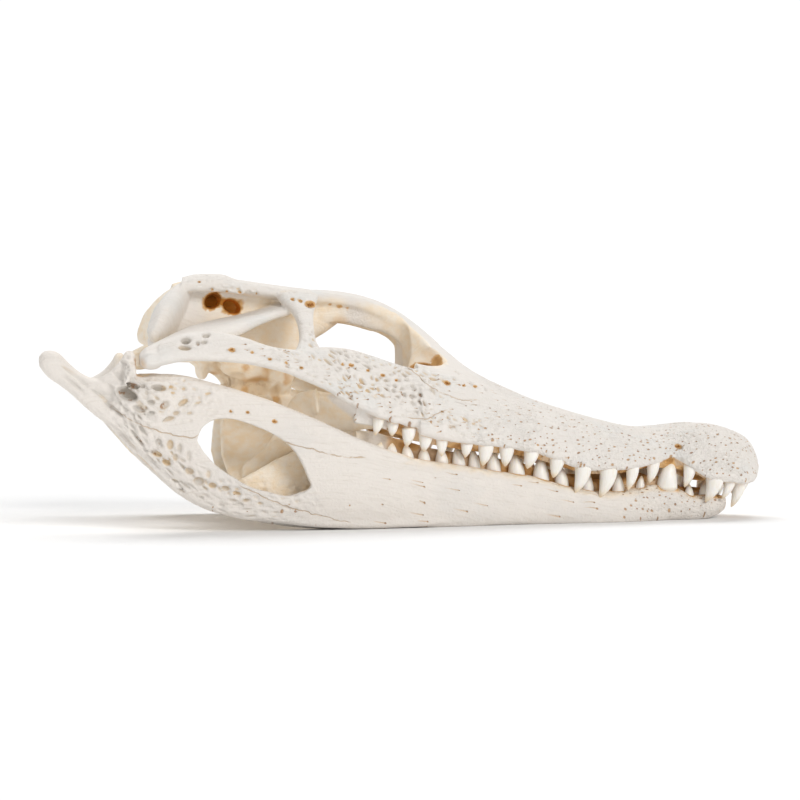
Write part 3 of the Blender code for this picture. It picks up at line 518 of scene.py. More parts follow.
# %% Roof, table and braincase
ROOF = [
    (14, 12, 67.2, 7), (6, 11, 73.8, 7.5), (-3, 10.2, 79.8, 8), (-12, 9.8, 84, 7.5), (-22, 10.6, 86.4, 7),
    (-31, 14, 87.3, 6.5), (-37, 21, 87.5, 6),
]
TABLE = [
    (-34, 16, 87.6, 5.5), (-37, 24.5, 87.6, 6), (-43, 28.6, 87.9, 6.5), (-54, 30.2, 89.2, 6.5),
    (-66, 31.8, 90.8, 6.5), (-77, 33.6, 91.8, 6.5), (-82, 34, 91.6, 6),
]
PALATINE = [
    (16, 15, 41, 5), (8, 12, 40, 8), (-4, 9.6, 40.5, 9), (-20, 8.6, 42, 10), (-36, 9.6, 43.6, 10),
    (-50, 11.5, 46.5, 10), (-62, 11.5, 51.5, 8), (-68, 8.5, 54.5, 4),
]
BRAINCASE = [
    (-23, 83, 77.6, 7), (-28, 86, 74, 14), (-35, 87.6, 69, 21), (-38, 88, 60, 22), (-42, 88, 50, 24),
    (-50, 89, 47, 28), (-60, 89.5, 49.5, 31), (-67, 90, 53.5, 33), (-71, 90, 57.5, 33), (-77, 90, 60, 32),
    (-83, 89, 64.5, 26), (-87, 86, 67, 18),
]
print("rows of the table:", len(TABLE), "and of the braincase:", len(BRAINCASE))

# %% Openings, knobs and one skin
TABLE_HOLE_X, TABLE_HOLE_Y, TABLE_HOLE = -58, 13, (5.6, 4.2, 15)
OCCIPITAL_CONDYLE = ((-90, 0, 70), (6.5, 5, 4.8))
FORAMEN_MAGNUM = ((-91, 0, 80), (9, 5.2, 4.4))
BASAL_TUBER = ((-75.6, 5.5, 60.2), (2.3, 4.2, 4.4))
# Ovals with a slope in degrees. The front wall of the orbit is hollowed a little further, with its
# inner corner rounded, and two small openings for the tear duct lie in that corner.
EAR_OPENINGS = [((-73.4, 24.5, 85.3), (3.4, 7, 2.7), 38), ((-66.2, 22.5, 83.3), (3.6, 6, 2.6), -28)]
ORBIT_HOLLOWS = [((4, 29, 64.8), (11.5, 11, 6.2), 0), ((-3, 13.5, 66), (6.6, 5, 18), 0)]
TEAR_OPENINGS = [((6.4, 24, 59.8), (4.8, 8, 2.4), 0), ((11.6, 26, 63), (1.8, 4.5, 3), -20)]


def table_holes(z):
    """The two upper openings of the table, about this height."""
    return [oval((TABLE_HOLE_X, TABLE_HOLE_Y, z), TABLE_HOLE, side) for side in (-1, 1)]


table = sheet_of("table", [middle_plate(TABLE, 0.6)])
carve(table, table_holes(88))
braincase = sheet_of("braincase", [upright_plate(BRAINCASE)])
carve(braincase, [oval(*FORAMEN_MAGNUM), *table_holes(90)])
inner_bones = both_sides(PTERYGOID_WING, ECTOPTERYGOID, ECTOPTERYGOID_RIM, PREFRONTAL_CREST,
                         tissue(UPPER_TEETH, 1))
inner_bones += [middle_plate(ROOF, 0.75), middle_plate(PALATINE, 0.75), oval(*OCCIPITAL_CONDYLE)]
inner_bones += [oval(*BASAL_TUBER, side) for side in (-1, 1)]
gather(skull, [table, braincase, sheet_of("bones", outer_bones + inner_bones)])
fuse(skull)
SMALL_HOLLOWS = EAR_OPENINGS + ORBIT_HOLLOWS + TEAR_OPENINGS
carve(skull, [oval(c, r, side, slope) for side in (-1, 1) for c, r, slope in SMALL_HOLLOWS])
print("skull faces:", len(skull.data.polygons))

# %% [markdown]
# ## The lower jaw
# Two branches meet in a solid chin. Behind the teeth each branch is a channel between an outer and an
# inner wall, with a keel below, the cupped jaw joint behind, and the long process beyond it that the
# jaw-opening muscle pulls on. A window opens the outer wall, and the inner one is seen through it. In
# one thick wall the window would be a tunnel, so the two walls are plates of their own, and only the
# outer one is cut before they grow together.

# %% Chin, bone under the teeth and walls
SYMPHYSIS = [
    (132.6, 4, 8, 5.4), (131, 9, 9.4, 3.6), (127.5, 13.6, 10.2, 1.8), (122, 17, 10.6, 0.4),
    (115, 18.8, 10.4, -0.4), (109, 20, 13.2, -0.4), (102, 21.8, 14.6, -0.4), (95, 23.6, 14.6, -0.2),
]
DENTARY = [
    (108, -13, 13, 107, -12, 1, 12), (98, -16.6, 14.6, 98, -15.6, 0, 12.5),
    (87, -20.4, 13.2, 87, -19.6, -0.4, 12), (76, -23.2, 12.8, 76, -22.4, -0.4, 11.5),
    (62, -26.2, 15.2, 62, -25.2, 0.2, 11), (48, -29, 19, 48, -28, 0.6, 11.5),
    (32, -32.6, 21.6, 32, -31.6, 0.6, 12), (16, -36.6, 24.2, 16, -35.8, 0.4, 12.5),
    (2, -40.2, 26.4, 2, -38.8, 0.6, 12.5), (-8, -42.6, 27.4, -8, -41.6, 1.6, 11),
    (-16, -43.8, 27.6, -16, -43, 5, 7),
]
OUTER_WALL = [
    (16, -37.4, 22, 16, -37, 4, 4, 1.6), (5, -41.6, 25.6, 5, -39.6, 2.4, 4.4, 2.6),
    (-8, -45.4, 28.2, -8, -42.8, 1.8, 4.4, 3.4), (-18, -48, 31.6, -18, -45, 1.6, 4.4, 3.8),
    (-30, -50.2, 37.6, -30, -47, 1.8, 4.4, 4), (-42, -51.4, 42.4, -42, -48.4, 2.6, 4.4, 4),
    (-54, -52.2, 47.2, -54, -49.4, 4, 4.4, 3.9), (-66, -52.6, 51.4, -66, -50.2, 5.4, 4.6, 3.6),
    (-78, -52.6, 54.8, -77, -50.4, 9.2, 5, 3.4), (-90, -52.2, 57.2, -88, -50.2, 16.4, 6, 3),
    (-102, -51.4, 57.4, -100, -50, 27.6, 7.5, 2), (-112, -50.2, 55.6, -109, -49.6, 37.2, 8.5, 1),
]
INNER_WALL = [
    (6, -34.6, 25, 6, -35, 1, 4), (-14, -38.4, 28, -14, -39, 0.8, 3.6),
    (-32, -41, 32.6, -32, -41.4, 0.6, 3.4), (-49, -42.4, 27.8, -49, -42.8, 2, 3.4),
    (-60, -42.8, 22, -60, -43.4, 4.4, 3.6), (-70, -43, 18, -70, -43.6, 7, 4),
    (-82, -43.6, 20, -80, -44.4, 11, 4.6), (-92, -44.6, 34, -90, -45.6, 18, 5.4),
]
print("rows of the outer wall:", len(OUTER_WALL), "and of the inner wall:", len(INNER_WALL))

# %% Keel, jaw joint and rear process
JAW_KEEL = [
    (16, -41, 4.2, 16, -32, 4.2, 4), (6, -43.8, 3.7, 6, -33.4, 3.7, 5.2),
    (-8, -46.4, 3.6, -8, -36, 3.6, 5.6), (-22, -49, 3.8, -22, -38.4, 3.8, 5.8),
    (-40, -51.2, 5, -40, -40.6, 5, 5.8), (-58, -52.6, 7.6, -58, -42, 7.6, 6),
    (-74, -53.6, 11, -74, -43, 11, 6.6), (-86, -53, 18, -86, -44, 18, 8),
    (-98, -52, 29.6, -98, -45.6, 29.6, 9), (-105, -51.2, 36.6, -105, -46.6, 36.6, 8),
    (-110.5, -50.6, 41.4, -110.5, -47.4, 41.4, 6),
]
SURANGULAR = [
    (8, -41, 21.6, 8, -37.4, 21.6, 3), (-3, -45.8, 25.2, -3, -41.6, 25.2, 4.6),
    (-20, -52, 30.6, -20, -46, 30.6, 5.6), (-36, -53.8, 37.4, -36, -47.6, 37.4, 6.2),
    (-54, -55, 44.6, -54, -48.4, 44.6, 6.8), (-72, -55.6, 50.2, -72, -48.6, 50.2, 7.2),
    (-88, -55.6, 54, -88, -47.6, 54, 7.6), (-98, -54.8, 54.6, -98, -46, 54.6, 7),
]
ARTICULAR = [
    (-88, -51, 57.2, -89, -51, 40, 11), (-94, -51.4, 57.8, -95, -51.4, 36, 16),
    (-100, -51.4, 57.4, -101, -51.4, 38, 17), (-106, -51, 58.6, -106, -51, 40, 14),
    (-112, -50.4, 57, -111, -50.4, 42, 10),
]
GLENOID_RIDGE = [
    (-105, -43.8, 60, -105.6, -43.8, 52, 4), (-105, -46.6, 65.4, -106.4, -46.6, 52, 5),
    (-105.2, -51, 66.4, -107, -51, 52, 5.6), (-105, -56, 62.8, -106.6, -56, 52, 5),
    (-104.6, -58.6, 59.4, -105.6, -58.6, 52, 4),
]
GLENOID_SLOPE = [
    (-104.2, -51, 61.5, -104.4, -51, 50, 5), (-106, -51, 66, -106.5, -51, 50, 6),
    (-109.2, -50.8, 62.2, -109.5, -50.8, 50, 7), (-112.4, -50.4, 58.8, -112.8, -50.4, 50, 7.5),
    (-117, -49.6, 56.2, -117, -49.6, 48, 7),
]
RETROARTICULAR = [
    (-106, -50.6, 60, -104, -50.6, 36, 9), (-111, -50.2, 58.6, -108.5, -50.2, 36.4, 9),
    (-116.5, -49.4, 56.6, -114.5, -49.4, 40.8, 9), (-121.5, -48.6, 57.8, -119.5, -48.6, 45, 9.5),
    (-126.5, -47.6, 61.4, -124.5, -47.6, 49.8, 10), (-131, -46.8, 65.8, -129.5, -46.8, 53.6, 10),
    (-135, -46.4, 66.4, -134.2, -46.4, 57, 9), (-137.3, -46, 64.4, -137.1, -46, 60.8, 5),
]
print("rows of the rear process:", len(RETROARTICULAR))

# %% Window, and the jaw as one skin
JAW_WINDOW = [
    (-81.6, 34), (-80, 38.2), (-76.2, 41.2), (-71, 42), (-65, 40.9), (-57.5, 38), (-50.5, 34.2),
    (-46.5, 30.6), (-43.6, 25.8), (-41.4, 20.8), (-40.2, 17), (-44, 15), (-49, 13.8), (-55, 15.2),
    (-62, 17.2), (-68, 20.6), (-74, 24.6), (-78.6, 29.4),
]
WINDOW_INSIDE, WINDOW_OUTSIDE = 45.4, 75  # how far from the middle the window's cutter reaches


def symphysis_rings():
    """Sections of the chin: raised tooth margins round a shallow trough, and a flat underside."""
    x, wide, margin, under = through(SYMPHYSIS, 8).T
    high = margin - under
    half = [
        (0 * wide, margin - 0.32 * high), (0.5 * wide, margin - 0.26 * high),
        (0.74 * wide, margin - 0.04 * high), (0.87 * wide, margin), (0.98 * wide, margin - 0.18 * high),
        (1.0 * wide, margin - 0.45 * high), (0.9 * wide, under + 0.22 * high),
        (0.66 * wide, under + 0.03 * high), (0 * wide, under),
    ]
    return mirrored_rings(x, half)


def window_cutter(side):
    """The window's outline carried straight through the outer wall."""
    x, z = through([*JAW_WINDOW, JAW_WINDOW[0]], 5)[:-1].T
    rings = [np.stack([x, np.full_like(x, side * y), z], axis=-1) for y in (WINDOW_OUTSIDE, WINDOW_INSIDE)]
    return skin(np.stack(rings))


jaw = sheet_of("jaw", [skin(symphysis_rings())])
walls = sheet_of("walls", both_sides(OUTER_WALL))
carve(walls, [window_cutter(side) for side in (-1, 1)])
jaw_bones = both_sides(DENTARY, INNER_WALL, JAW_KEEL, SURANGULAR, ARTICULAR, GLENOID_RIDGE, GLENOID_SLOPE,
                       RETROARTICULAR, tissue(LOWER_TEETH, -1))
gather(jaw, [walls, sheet_of("jaw_bones", jaw_bones)])
fuse(jaw)

# %% [markdown]
# ## Noise without a picture
# Bone is never smooth. A Displace modifier could roughen it with one of Blender's textures, but this
# relief has to follow the borders of the bones and to stop at set places, which is easier to say in
# numpy. Two kinds of noise are enough: soft lumps, which blend random numbers kept at the corners of a
# grid, and cells, which measure how far a point is from the nearest and the second nearest of
# scattered centres. Their difference is small on the walls between cells.


# %% Noise
def corner_numbers(corners, seed, count):
    """Repeatable random numbers for whole-number grid corners: their digits stirred by odd multipliers."""
    k = (corners.astype(np.int64) & 0xFFFF).astype(np.uint64)
    mix = (k[:, 0] * np.uint64(73856093)) ^ (k[:, 1] * np.uint64(19349663)) ^ (k[:, 2] * np.uint64(83492791))
    mix = mix + np.uint64(seed * 2654435761)
    made = []
    for _ in range(count):
        mix = (mix ^ (mix >> np.uint64(13))) * np.uint64(1274126177)
        mix = mix ^ (mix >> np.uint64(16))
        made.append((mix & np.uint64(0xFFFFF)).astype(float) / 0xFFFFF)
    return np.stack(made, axis=1)


def lumps(points, size, seed):
    """Soft noise in -1..1: corner numbers of a grid of this size, blended by smooth steps."""
    q = points / size
    base = np.floor(q)
    f = q - base
    f = f * f * (3 - 2 * f)
    total = np.zeros(len(points))
    for corner in itertools.product((0, 1), repeat=3):
        wx, wy, wz = np.abs(1 - np.array(corner) - f).T
        total += wx * wy * wz * corner_numbers(base + corner, seed, 1)[:, 0]
    return 2 * total - 1


def cells(points, size, slope, seed):
    """Distances to the nearest two scattered centres, in cell sizes, with cells long along a slope."""
    along, rise = tilted(points[:, 0], points[:, 2], slope)
    q = np.stack([along, points[:, 1], rise], axis=1) / size
    base = np.floor(q)
    first, second = np.full(len(q), 9.0), np.full(len(q), 9.0)
    for step in itertools.product((-1, 0, 1), repeat=3):
        corner = base + step
        away = np.linalg.norm(corner + 0.08 + 0.84 * corner_numbers(corner, seed, 3) - q, axis=1)
        second = np.minimum(second, np.maximum(first, away))
        first = np.minimum(first, away)
    return first, second


def honeycomb(points, strength, size, slope, seed):
    """Depth 0..1 of bowls with round walls between, worked out only where the strength is above zero."""
    depth = np.zeros(len(points))
    here = strength > 0.01
    first, second = cells(points[here], np.array(size, float), slope, seed)
    depth[here] = smooth_step(0.08, 0.66, second - first) * strength[here]
    return depth


print("lumps at three points:", lumps(np.array([[0.0, 0, 0], [3, 1, 2], [9, 9, 9]]), 4.0, 1).round(2))

# %% [markdown]
# ## Pits, one by one
# A caiman's bone is sculpted where the skin was grown fast to it. Noise alone would put the pits
# anywhere, and the large ones are what a viewer remembers, so the deepest are written down from the
# photograph as ovals with a length, a height, a slope and a depth. The rest is honeycomb, and it
# follows the lower border of each bone, so its coordinates are x and the height above that border.

# %% Written-down pits
# (x, z, half length, half height, slope in degrees, depth), all in mm.
JAW_PITS = [
    (-106.8, 51, 4.1, 2.2, -25, 2.6), (-104.6, 54, 2.8, 1.2, 0, 2.4), (-100.9, 54.2, 1, 1, 0, 1.8),
    (-95.2, 53.5, 3, 1.3, -10, 2.1), (-90.5, 53.7, 0.9, 0.7, 0, 1.2), (-99.6, 51.5, 1, 1.1, 0, 1),
    (-98, 48, 1.6, 1, -10, 1.5), (-93, 46.9, 2.2, 1.4, 35, 1.4), (-102.5, 45.4, 2.8, 1.1, -20, 1.5),
    (-97.8, 44.1, 1.4, 0.8, -5, 1.4), (-89.8, 51.4, 0.9, 0.6, 0, 1), (-86.2, 52.6, 0.9, 0.6, 0, 1),
    (-77.5, 51, 1.4, 0.6, 10, 0.9), (-81.2, 47.8, 1.7, 0.6, 20, 0.9), (-86.4, 48, 2.2, 1, 35, 1.5),
    (-88.9, 44.1, 1.3, 0.8, 20, 1.1), (-84.2, 44.1, 1.2, 0.6, 10, 0.9), (-91.6, 41.8, 2.4, 0.8, 25, 1.2),
    (-103, 34.9, 4.3, 0.8, -52, 1.2), (-95.4, 33.5, 1.3, 1.6, 0, 1.2), (-91.2, 32.6, 1.4, 2, 0, 1.1),
    (-87.8, 31.2, 1, 2.2, 0, 0.9), (-96.2, 29.2, 2.4, 1.1, -20, 1.4), (-92.5, 26, 1.7, 1.1, -25, 1.5),
    (-89.3, 28, 1.1, 1.6, 0, 1), (-84.3, 22.9, 1.9, 1.4, -20, 1.3), (-80.9, 19.2, 2.2, 1.7, -10, 1.3),
    (-84.6, 28.4, 1, 2.2, 0, 0.8), (-75.9, 17.7, 1.6, 1.1, -10, 1.2), (-71.2, 16.6, 1.6, 1, -15, 1.2),
    (-67.1, 14.8, 1.8, 0.8, -15, 1.1), (-89.3, 19.4, 1.6, 0.6, -28, 0.9), (-86.9, 15.7, 1.6, 0.6, -30, 0.9),
    (-79.9, 13.5, 1.2, 0.6, -20, 0.9), (-72.4, 10.6, 1.5, 0.6, -15, 0.8), (-65.8, 10.9, 1.3, 0.6, -10, 0.8),
    (-77.5, 21.9, 1.1, 1.8, 0, 0.7), (-111.5, 45.5, 5.5, 0.9, -42, 1), (-116, 50.5, 5, 0.8, -38, 0.8),
]
CHEEK_PITS = [
    (-85.7, 70.2, 1.8, 1.3, 0, 2.4), (-86.2, 67.6, 2.3, 1, -5, 2.1), (-81.4, 69.2, 0.8, 0.9, 0, 1.6),
    (-78.3, 72, 1.4, 0.9, 10, 1.8), (-79.2, 69.6, 1.2, 0.7, 10, 1.6), (-69.7, 67, 2.2, 0.6, 5, 0.9),
    (-63.3, 67, 0.9, 0.6, 0, 0.7), (-55.5, 64.1, 1.3, 0.6, -10, 0.8), (-37.6, 84, 2.5, 1.4, -10, 2.6),
    (-42.2, 86, 0.8, 0.6, 0, 0.9), (-64.4, 89.4, 0.9, 0.7, 0, 0.9), (108, 29.8, 1.6, 1, -20, 2),
    (11.7, 55.4, 1.4, 0.7, -15, 1.3), (22.9, 54.6, 1, 0.6, -25, 1), (29.4, 52.1, 0.8, 0.6, -20, 0.8),
    (18.7, 58.3, 0.9, 0.6, -30, 0.8), (15.5, 56.2, 0.8, 0.6, -20, 0.9), (-0.9, 52.3, 0.9, 0.5, 0, 1),
]
# Small brown holes: (x, z, half length), in the edge of the table, the cheek and the quadrate bar.
SKULL_HOLES = [
    (-79, 92, 0.7), (-74.2, 89.3, 0.8), (-68.7, 88.6, 0.6), (-63.8, 88.3, 0.9), (-57.5, 88, 0.6),
    (-44.4, 85.9, 1), (-41.4, 85.2, 1), (-24.7, 61.3, 1.2), (-12.7, 57.6, 1.1), (-18.3, 59.4, 0.9),
    (-28, 61.6, 0.9), (-7.5, 55.7, 0.8), (12.5, 54.6, 1.5), (19.3, 53.8, 0.9), (24.3, 53.4, 1.1),
    (-69.3, 66.7, 1.5), (-62, 65.9, 0.9), (-55.5, 63.4, 0.9), (-49.3, 62, 0.8), (-43.8, 60.2, 0.9),
]
JAW_HOLES = [(-69.4, 44.6, 0.8), (-63.2, 44.2, 0.9), (-53.4, 40.9, 1.2), (-75.6, 40.8, 0.6)]
SKULL_BORDER = [(row[3], row[5]) for row in reversed(JUGAL) if row[3] < 10]
SKULL_BORDER += [p for p in reversed(SNOUT_MARGIN) if p[0] > 20]
JAW_BORDER = [(row[3], row[5]) for table in (RETROARTICULAR[2:], OUTER_WALL) for row in reversed(table)]
JAW_BORDER += [(40, 0.6), (132, 3.0)]


def dug(points, outward, pits):
    """Depth in mm of written-down pits: oval bowls with steep sides and flat floors, on outer faces."""
    depth = np.zeros(len(points))
    for x, z, long, high, slope, deep in pits:
        along, rise = tilted(points[:, 0] - x, points[:, 2] - z, slope)
        reach = np.hypot(along / long, rise / high)
        depth = np.maximum(depth, deep * smooth_step(1.25, 0.55, reach))
    return depth * smooth_step(0.1, 0.4, outward)


def holes_as_pits(holes, deep):
    """Pit rows for small holes, a little longer than high."""
    return [(x, z, 0.9 * long, 0.55 * long, -12, deep) for x, z, long in holes]


def along_border(points, border, seed):
    """Height above a bone's lower border, and coordinates x, y and that height, gently warped."""
    rise = points[:, 2] - profile(border, points[:, 0])
    warp = np.stack([lumps(points, 4.5, seed + k) for k in range(3)], axis=1) * 0.7
    return rise, np.stack([points[:, 0], points[:, 1], rise], axis=1) + warp


print("borders of", len(SKULL_BORDER), "and", len(JAW_BORDER), "points")

# %% [markdown]
# ## Relief as displacement
# Pits that are a millimetre or two deep hold shadow and break the outline, which bump in a material
# can't do. The grid skin has about one point per half millimetre, so relief can be real: each point
# moves in along its normal by the depth that the rules give there. Before that, the sharp edges that a
# cutter left are relaxed. Afterwards Decimate keeps the triangles where the surface bends, and a
# vertex group makes it begin on the inner faces, which have no relief. The depth is kept as a number
# on each point, so that the colour can darken the pits: painted shade, added to the real shadow.


# %% Read, move and thin a mesh
def vertex_places(piece):
    """Positions in the rows' millimetres, and unit normals, of all vertices."""
    mesh = piece.data
    places, normals = np.empty(len(mesh.vertices) * 3), np.empty(len(mesh.vertices) * 3)
    mesh.vertices.foreach_get("co", places)
    mesh.vertex_normals.foreach_get("vector", normals)
    return places.reshape(-1, 3) / MM + (CENTRE_X, 0, FLOOR_Z), normals.reshape(-1, 3)


def move_vertices(piece, places):
    """Puts vertices at these millimetres, never below the floor nor outside the solid model's box."""
    metres = (places - (CENTRE_X, 0, FLOOR_Z)) * MM
    metres = np.clip(metres, np.array(cad_low) + 2e-5, np.array(cad_high) - 2e-5)
    piece.data.vertices.foreach_set("co", metres.ravel())
    piece.data.update()


def inside_oval(points, centre, radii, slope=0):
    """1 well inside a mirrored, sloping oval and 0 outside, over a soft edge."""
    x, y, z = (points * (1, 0, 1) + np.abs(points) * (0, 1, 0) - centre).T
    along, rise = tilted(x, z, slope)
    return smooth_step(1.15, 1.0, np.linalg.norm(np.stack([along, y, rise], axis=1) / radii, axis=1))


def soften(piece, chosen, rounds):
    """Relaxes the skin where chosen is 1, which rounds the sharp edges that a cut leaves."""
    group = piece.vertex_groups.new(name="soft")
    group.add(np.nonzero(chosen > 0.5)[0].tolist(), 1.0, "REPLACE")
    relax = piece.modifiers.new("soften", "SMOOTH")
    relax.factor, relax.iterations, relax.vertex_group = 0.5, rounds, group.name
    keep_modifiers(piece)
    piece.vertex_groups.clear()


BONE_TRIANGLES, PLAIN_FIRST = 197000, 3e-6  # for each piece, and how strongly plain faces go first


def thin(piece, plain):
    """Collapses edges down to the wanted triangles, first where the plain weight is high."""
    now = sum(len(p.vertices) - 2 for p in piece.data.polygons)
    group = piece.vertex_groups.new(name="plain")
    for level in range(5):
        chosen = np.nonzero(np.round(plain * 4) == level)[0].tolist()
        group.add(chosen, 0.1 + 0.9 * level / 4, "REPLACE")
    fewer = piece.modifiers.new("fewer", "DECIMATE")
    fewer.ratio = BONE_TRIANGLES / now
    fewer.vertex_group, fewer.vertex_group_factor = group.name, PLAIN_FIRST
    keep_modifiers(piece)
    piece.vertex_groups.clear()
    piece.data.shade_smooth()
    print(piece.name, "triangles:", now, "->", sum(len(p.vertices) - 2 for p in piece.data.polygons))


def tell(piece, **facts):
    """Stores a number per vertex under each name, for the materials to read."""
    for name, values in facts.items():
        layer = piece.data.attributes.new(name, "FLOAT", "POINT")
        layer.data.foreach_set("value", np.asarray(values, np.float32))


print("soft edge of an oval:", inside_oval(np.array([[1, 0, 0], [1.08, 0, 0], [1.2, 0, 0]]), 0, 1).round(2))

# %% [markdown]
# ## Relief of the skull
# Large cells cover the cheek below the eye, and narrow slits run along its lower bar. The snout is
# only lightly netted, and the bone swells over the root of each tooth. Such regions could be painted
# as weights. Here each is a product of smooth steps in place and in the slope of the face, so they
# fade into each other, and both sides get the same regions.


# %% Skull relief
# Ovals where the skin is relaxed: around the cuts, and where cheek and snout grow together.
SOFTENED, SOFTEN_ROUNDS = [((2, 18, 68), (15, 19, 14)), ((2.5, 43, 49), (6, 9, 12))], 60
# The pit depth also sets how much painted shade the colour puts into each pit.
SKULL_DEEPEST, JAW_DEEPEST = 2.3, 2.6  # mm of depth that count as 1 for the colour


def near_teeth(points, teeth, up):
    """How near each point is to a root (1 on it), and the swelling of the bone over the roots."""
    near, swell = np.zeros(len(points)), np.zeros(len(points))
    for x, y, z, tip_x, tip_z, length in teeth:
        dx, dy, dz = points[:, 0] - x, np.abs(points[:, 1]) + y, (points[:, 2] - z) * up
        away = np.hypot(dx, dy) / (length / 2)
        near = np.maximum(near, faded(1, (1.7, 1.1, away), (4, 1, np.abs(dz))))
        bulge = np.exp(-(dx / (0.62 * length)) ** 2)
        swell = np.maximum(swell, faded(bulge, (-1.5, 1, dz), (9, 2, dz)))
    return near, swell


def skull_relief(points, normals):
    """Depth in mm at each point: cheek and table honeycomb, written pits, rough snout, swollen roots."""
    x, y, z = points.T
    side, outward, up = np.abs(y), normals[:, 1] * np.sign(y), normals[:, 2]
    rise, flow = along_border(points, SKULL_BORDER, 31)
    cheek = faded(1, (0.05, 0.45, outward), (28, 36, side))
    big = faded(cheek, (-47, -33, x), (16, 2, x), (5, 9, rise), (25, 21, rise))
    slits = faded(cheek, (-64, -48, x), (46, 20, x), (0.6, 2, rise), (13, 8, rise))
    snout = faded(1, (6, 22, x), (-0.1, 0.3, np.maximum(outward, up)))
    top = faded(1, (0.45, 0.8, up), (76, 84, z), (-86, -80, x))
    edge = faded(1, (0.2, 0.6, outward), (86, 88.5, z), (-90, -84, x), (-36, -44, x))
    depth = 1.6 * honeycomb(flow, big, (3, 3, 2.1), -14, 3)
    depth = np.maximum(depth, 1.2 * honeycomb(flow, slits * (1 - big), (3.2, 3, 1.5), -8, 5))
    depth += (0.30 * honeycomb(points, top, (2.5, 2.5, 2.5), 0, 7)
              + 0.45 * honeycomb(points, edge, (2.4, 2.4, 1.5), 5, 8))
    depth += 0.45 * honeycomb(flow, faded(snout, (26, 56, x)), (2.3, 2.3, 1.7), -20, 9)
    depth += (snout * (0.20 * lumps(points, 7.0, 2) + 0.14 * lumps(points, 2.6, 4))
              + 0.05 * lumps(points, 3.0, 6))
    crags = faded(1, (-78, -70, x), (-34, -42, x), (70, 62, z), (34, 28, side), (40, 46, z))
    depth += crags * (2.2 * lumps(points, 6.0, 61) + 1.6 * np.abs(lumps(points, 3.4, 62)))
    depth = np.maximum(depth, dug(points, outward, CHEEK_PITS + holes_as_pits(SKULL_HOLES, 1.2)))
    _, swell = near_teeth(points, UPPER_TEETH, 1)
    return depth * (1 - 0.6 * swell) - faded(0.75 * swell, (0, 0.4, outward))


points, normals = vertex_places(skull)
soften(skull, np.maximum.reduce([inside_oval(points, centre, radii) for centre, radii in SOFTENED]),
       SOFTEN_ROUNDS)
points, normals = vertex_places(skull)
depth = skull_relief(points, normals)
# pit is the depth from 0 to 1, with which the colour paints shade into the pits.
tell(skull, pit=np.clip(depth / SKULL_DEEPEST, 0, 1))
move_vertices(skull, points - normals * depth[:, None])
seen = np.maximum(normals[:, 1] * np.sign(points[:, 1]), normals[:, 2] - 0.3)
thin(skull, smooth_step(0.1, -0.3, seen))

# %% [markdown]
# ## Relief of the lower jaw
# The rear of the jaw is deeply sculpted, with slits that turn along its lower border. In front the
# bone is nearly smooth, with a faint grain along the jaw. The written pits come first, and honeycomb
# fills only what they leave free, because on top of them it would break up their flat floors.


# %% Jaw relief
def jaw_relief(points, normals):
    """Depth in mm at each point of the jaw: written pits, honeycomb behind, long faint grain in front."""
    x, y, z = points.T
    outward = normals[:, 1] * np.sign(y)
    rise, flow = along_border(points, JAW_BORDER, 41)
    outer = smooth_step(0.0, 0.35, outward)
    low = faded(outer, (-26, -60, x), (17, 10, rise), (-114, -106, x))
    high = faded(outer, (-62, -84, x), (-113, -107, x), (38, 43, z))
    depth = 1.25 * dug(points, outward, JAW_PITS + holes_as_pits(JAW_HOLES, 0.9))
    free = smooth_step(0.25, 0.0, depth)
    border = smooth_step(6.5, 4.5, rise)
    depth += 1.15 * honeycomb(flow, low * free * (1 - border), (3.4, 3, 2.5), 0, 13)
    depth += 0.80 * honeycomb(flow, faded(low * free * border, (0.3, 1.5, rise)), (5, 3, 1.2), 0, 14)
    depth += 0.75 * honeycomb(points, high * free, (2.6, 2.4, 1.8), -10, 15)
    ridges = lumps(np.stack([(x - z) / 18, y / 5, rise / 2.0], axis=1), 1.0, 18)
    depth += faded(faded(0.8 * outer, (-84, -100, x), (-137, -128, x)) * free, (0, 0.6, ridges))
    depth += (0.08 * lumps(points * (0.16, 0.6, 0.9), 1.0, 8) + 0.10 * lumps(points, 6.0, 10)
              + 0.04 * lumps(points, 2.2, 12))
    _, swell = near_teeth(points, LOWER_TEETH, -1)
    return depth - faded(0.6 * swell, (0, 0.4, outward), (-10, 10, x))


points, normals = vertex_places(jaw)
depth = jaw_relief(points, normals)
# pit is the depth from 0 to 1, with which the colour paints shade into the pits.
tell(jaw, pit=np.clip(depth / JAW_DEEPEST, 0, 1))
move_vertices(jaw, points - normals * depth[:, None])
thin(jaw, smooth_step(0.1, -0.3, normals[:, 1] * np.sign(points[:, 1])))

# %% [markdown]
# ## What the bone's colour needs to know
# Colour follows place. Outer faces are bleached ivory. Faces that look inward, the roof of the mouth
# and the hollows under the table get a warm tan, partly the bone's own tone and partly painted warm
# light for the shade they lie in. Pits are grey or brown: the brown is stain, the grey is painted shade
# of their depth. The tissue that dried between the teeth left brown, and the brown round each root is
# partly stain and partly painted shadow of the gap at its socket. A painted picture would need a UV map
# over every bone, while this skin is fine enough to carry each of these as a number per vertex. A
# suture is stored as the signed height above its line, which stays sharp between vertices, with a mask
# of where it counts.

# %% Sutures and stains
JAW_SUTURES = [
    [(-111.4, 45.6), (-106.8, 42.7), (-102.2, 40.2), (-95.4, 37.6), (-89.4, 36.1), (-84.4, 35.2),
     (-80.5, 36.1)],
    [(-69.9, 41.3), (-65.9, 39.5), (-57.6, 35.8), (-47, 32.7), (-39.3, 30.6), (-29, 28), (-19.4, 27.5)],
    [(-66.6, 17.9), (-60.7, 15.3), (-49.4, 10.4), (-34, 5.7), (-24.8, 3.6)],
]
SKULL_SUTURES = [
    [(-4.3, 42.0), (-0.9, 41.6), (5.1, 41.9), (8.5, 43.8), (11.9, 44.9)],
    [(-4.1, 61.4), (0.4, 58.0), (5.0, 53.5), (12.6, 50.1), (19.8, 48.2), (25.6, 48.6)],
]
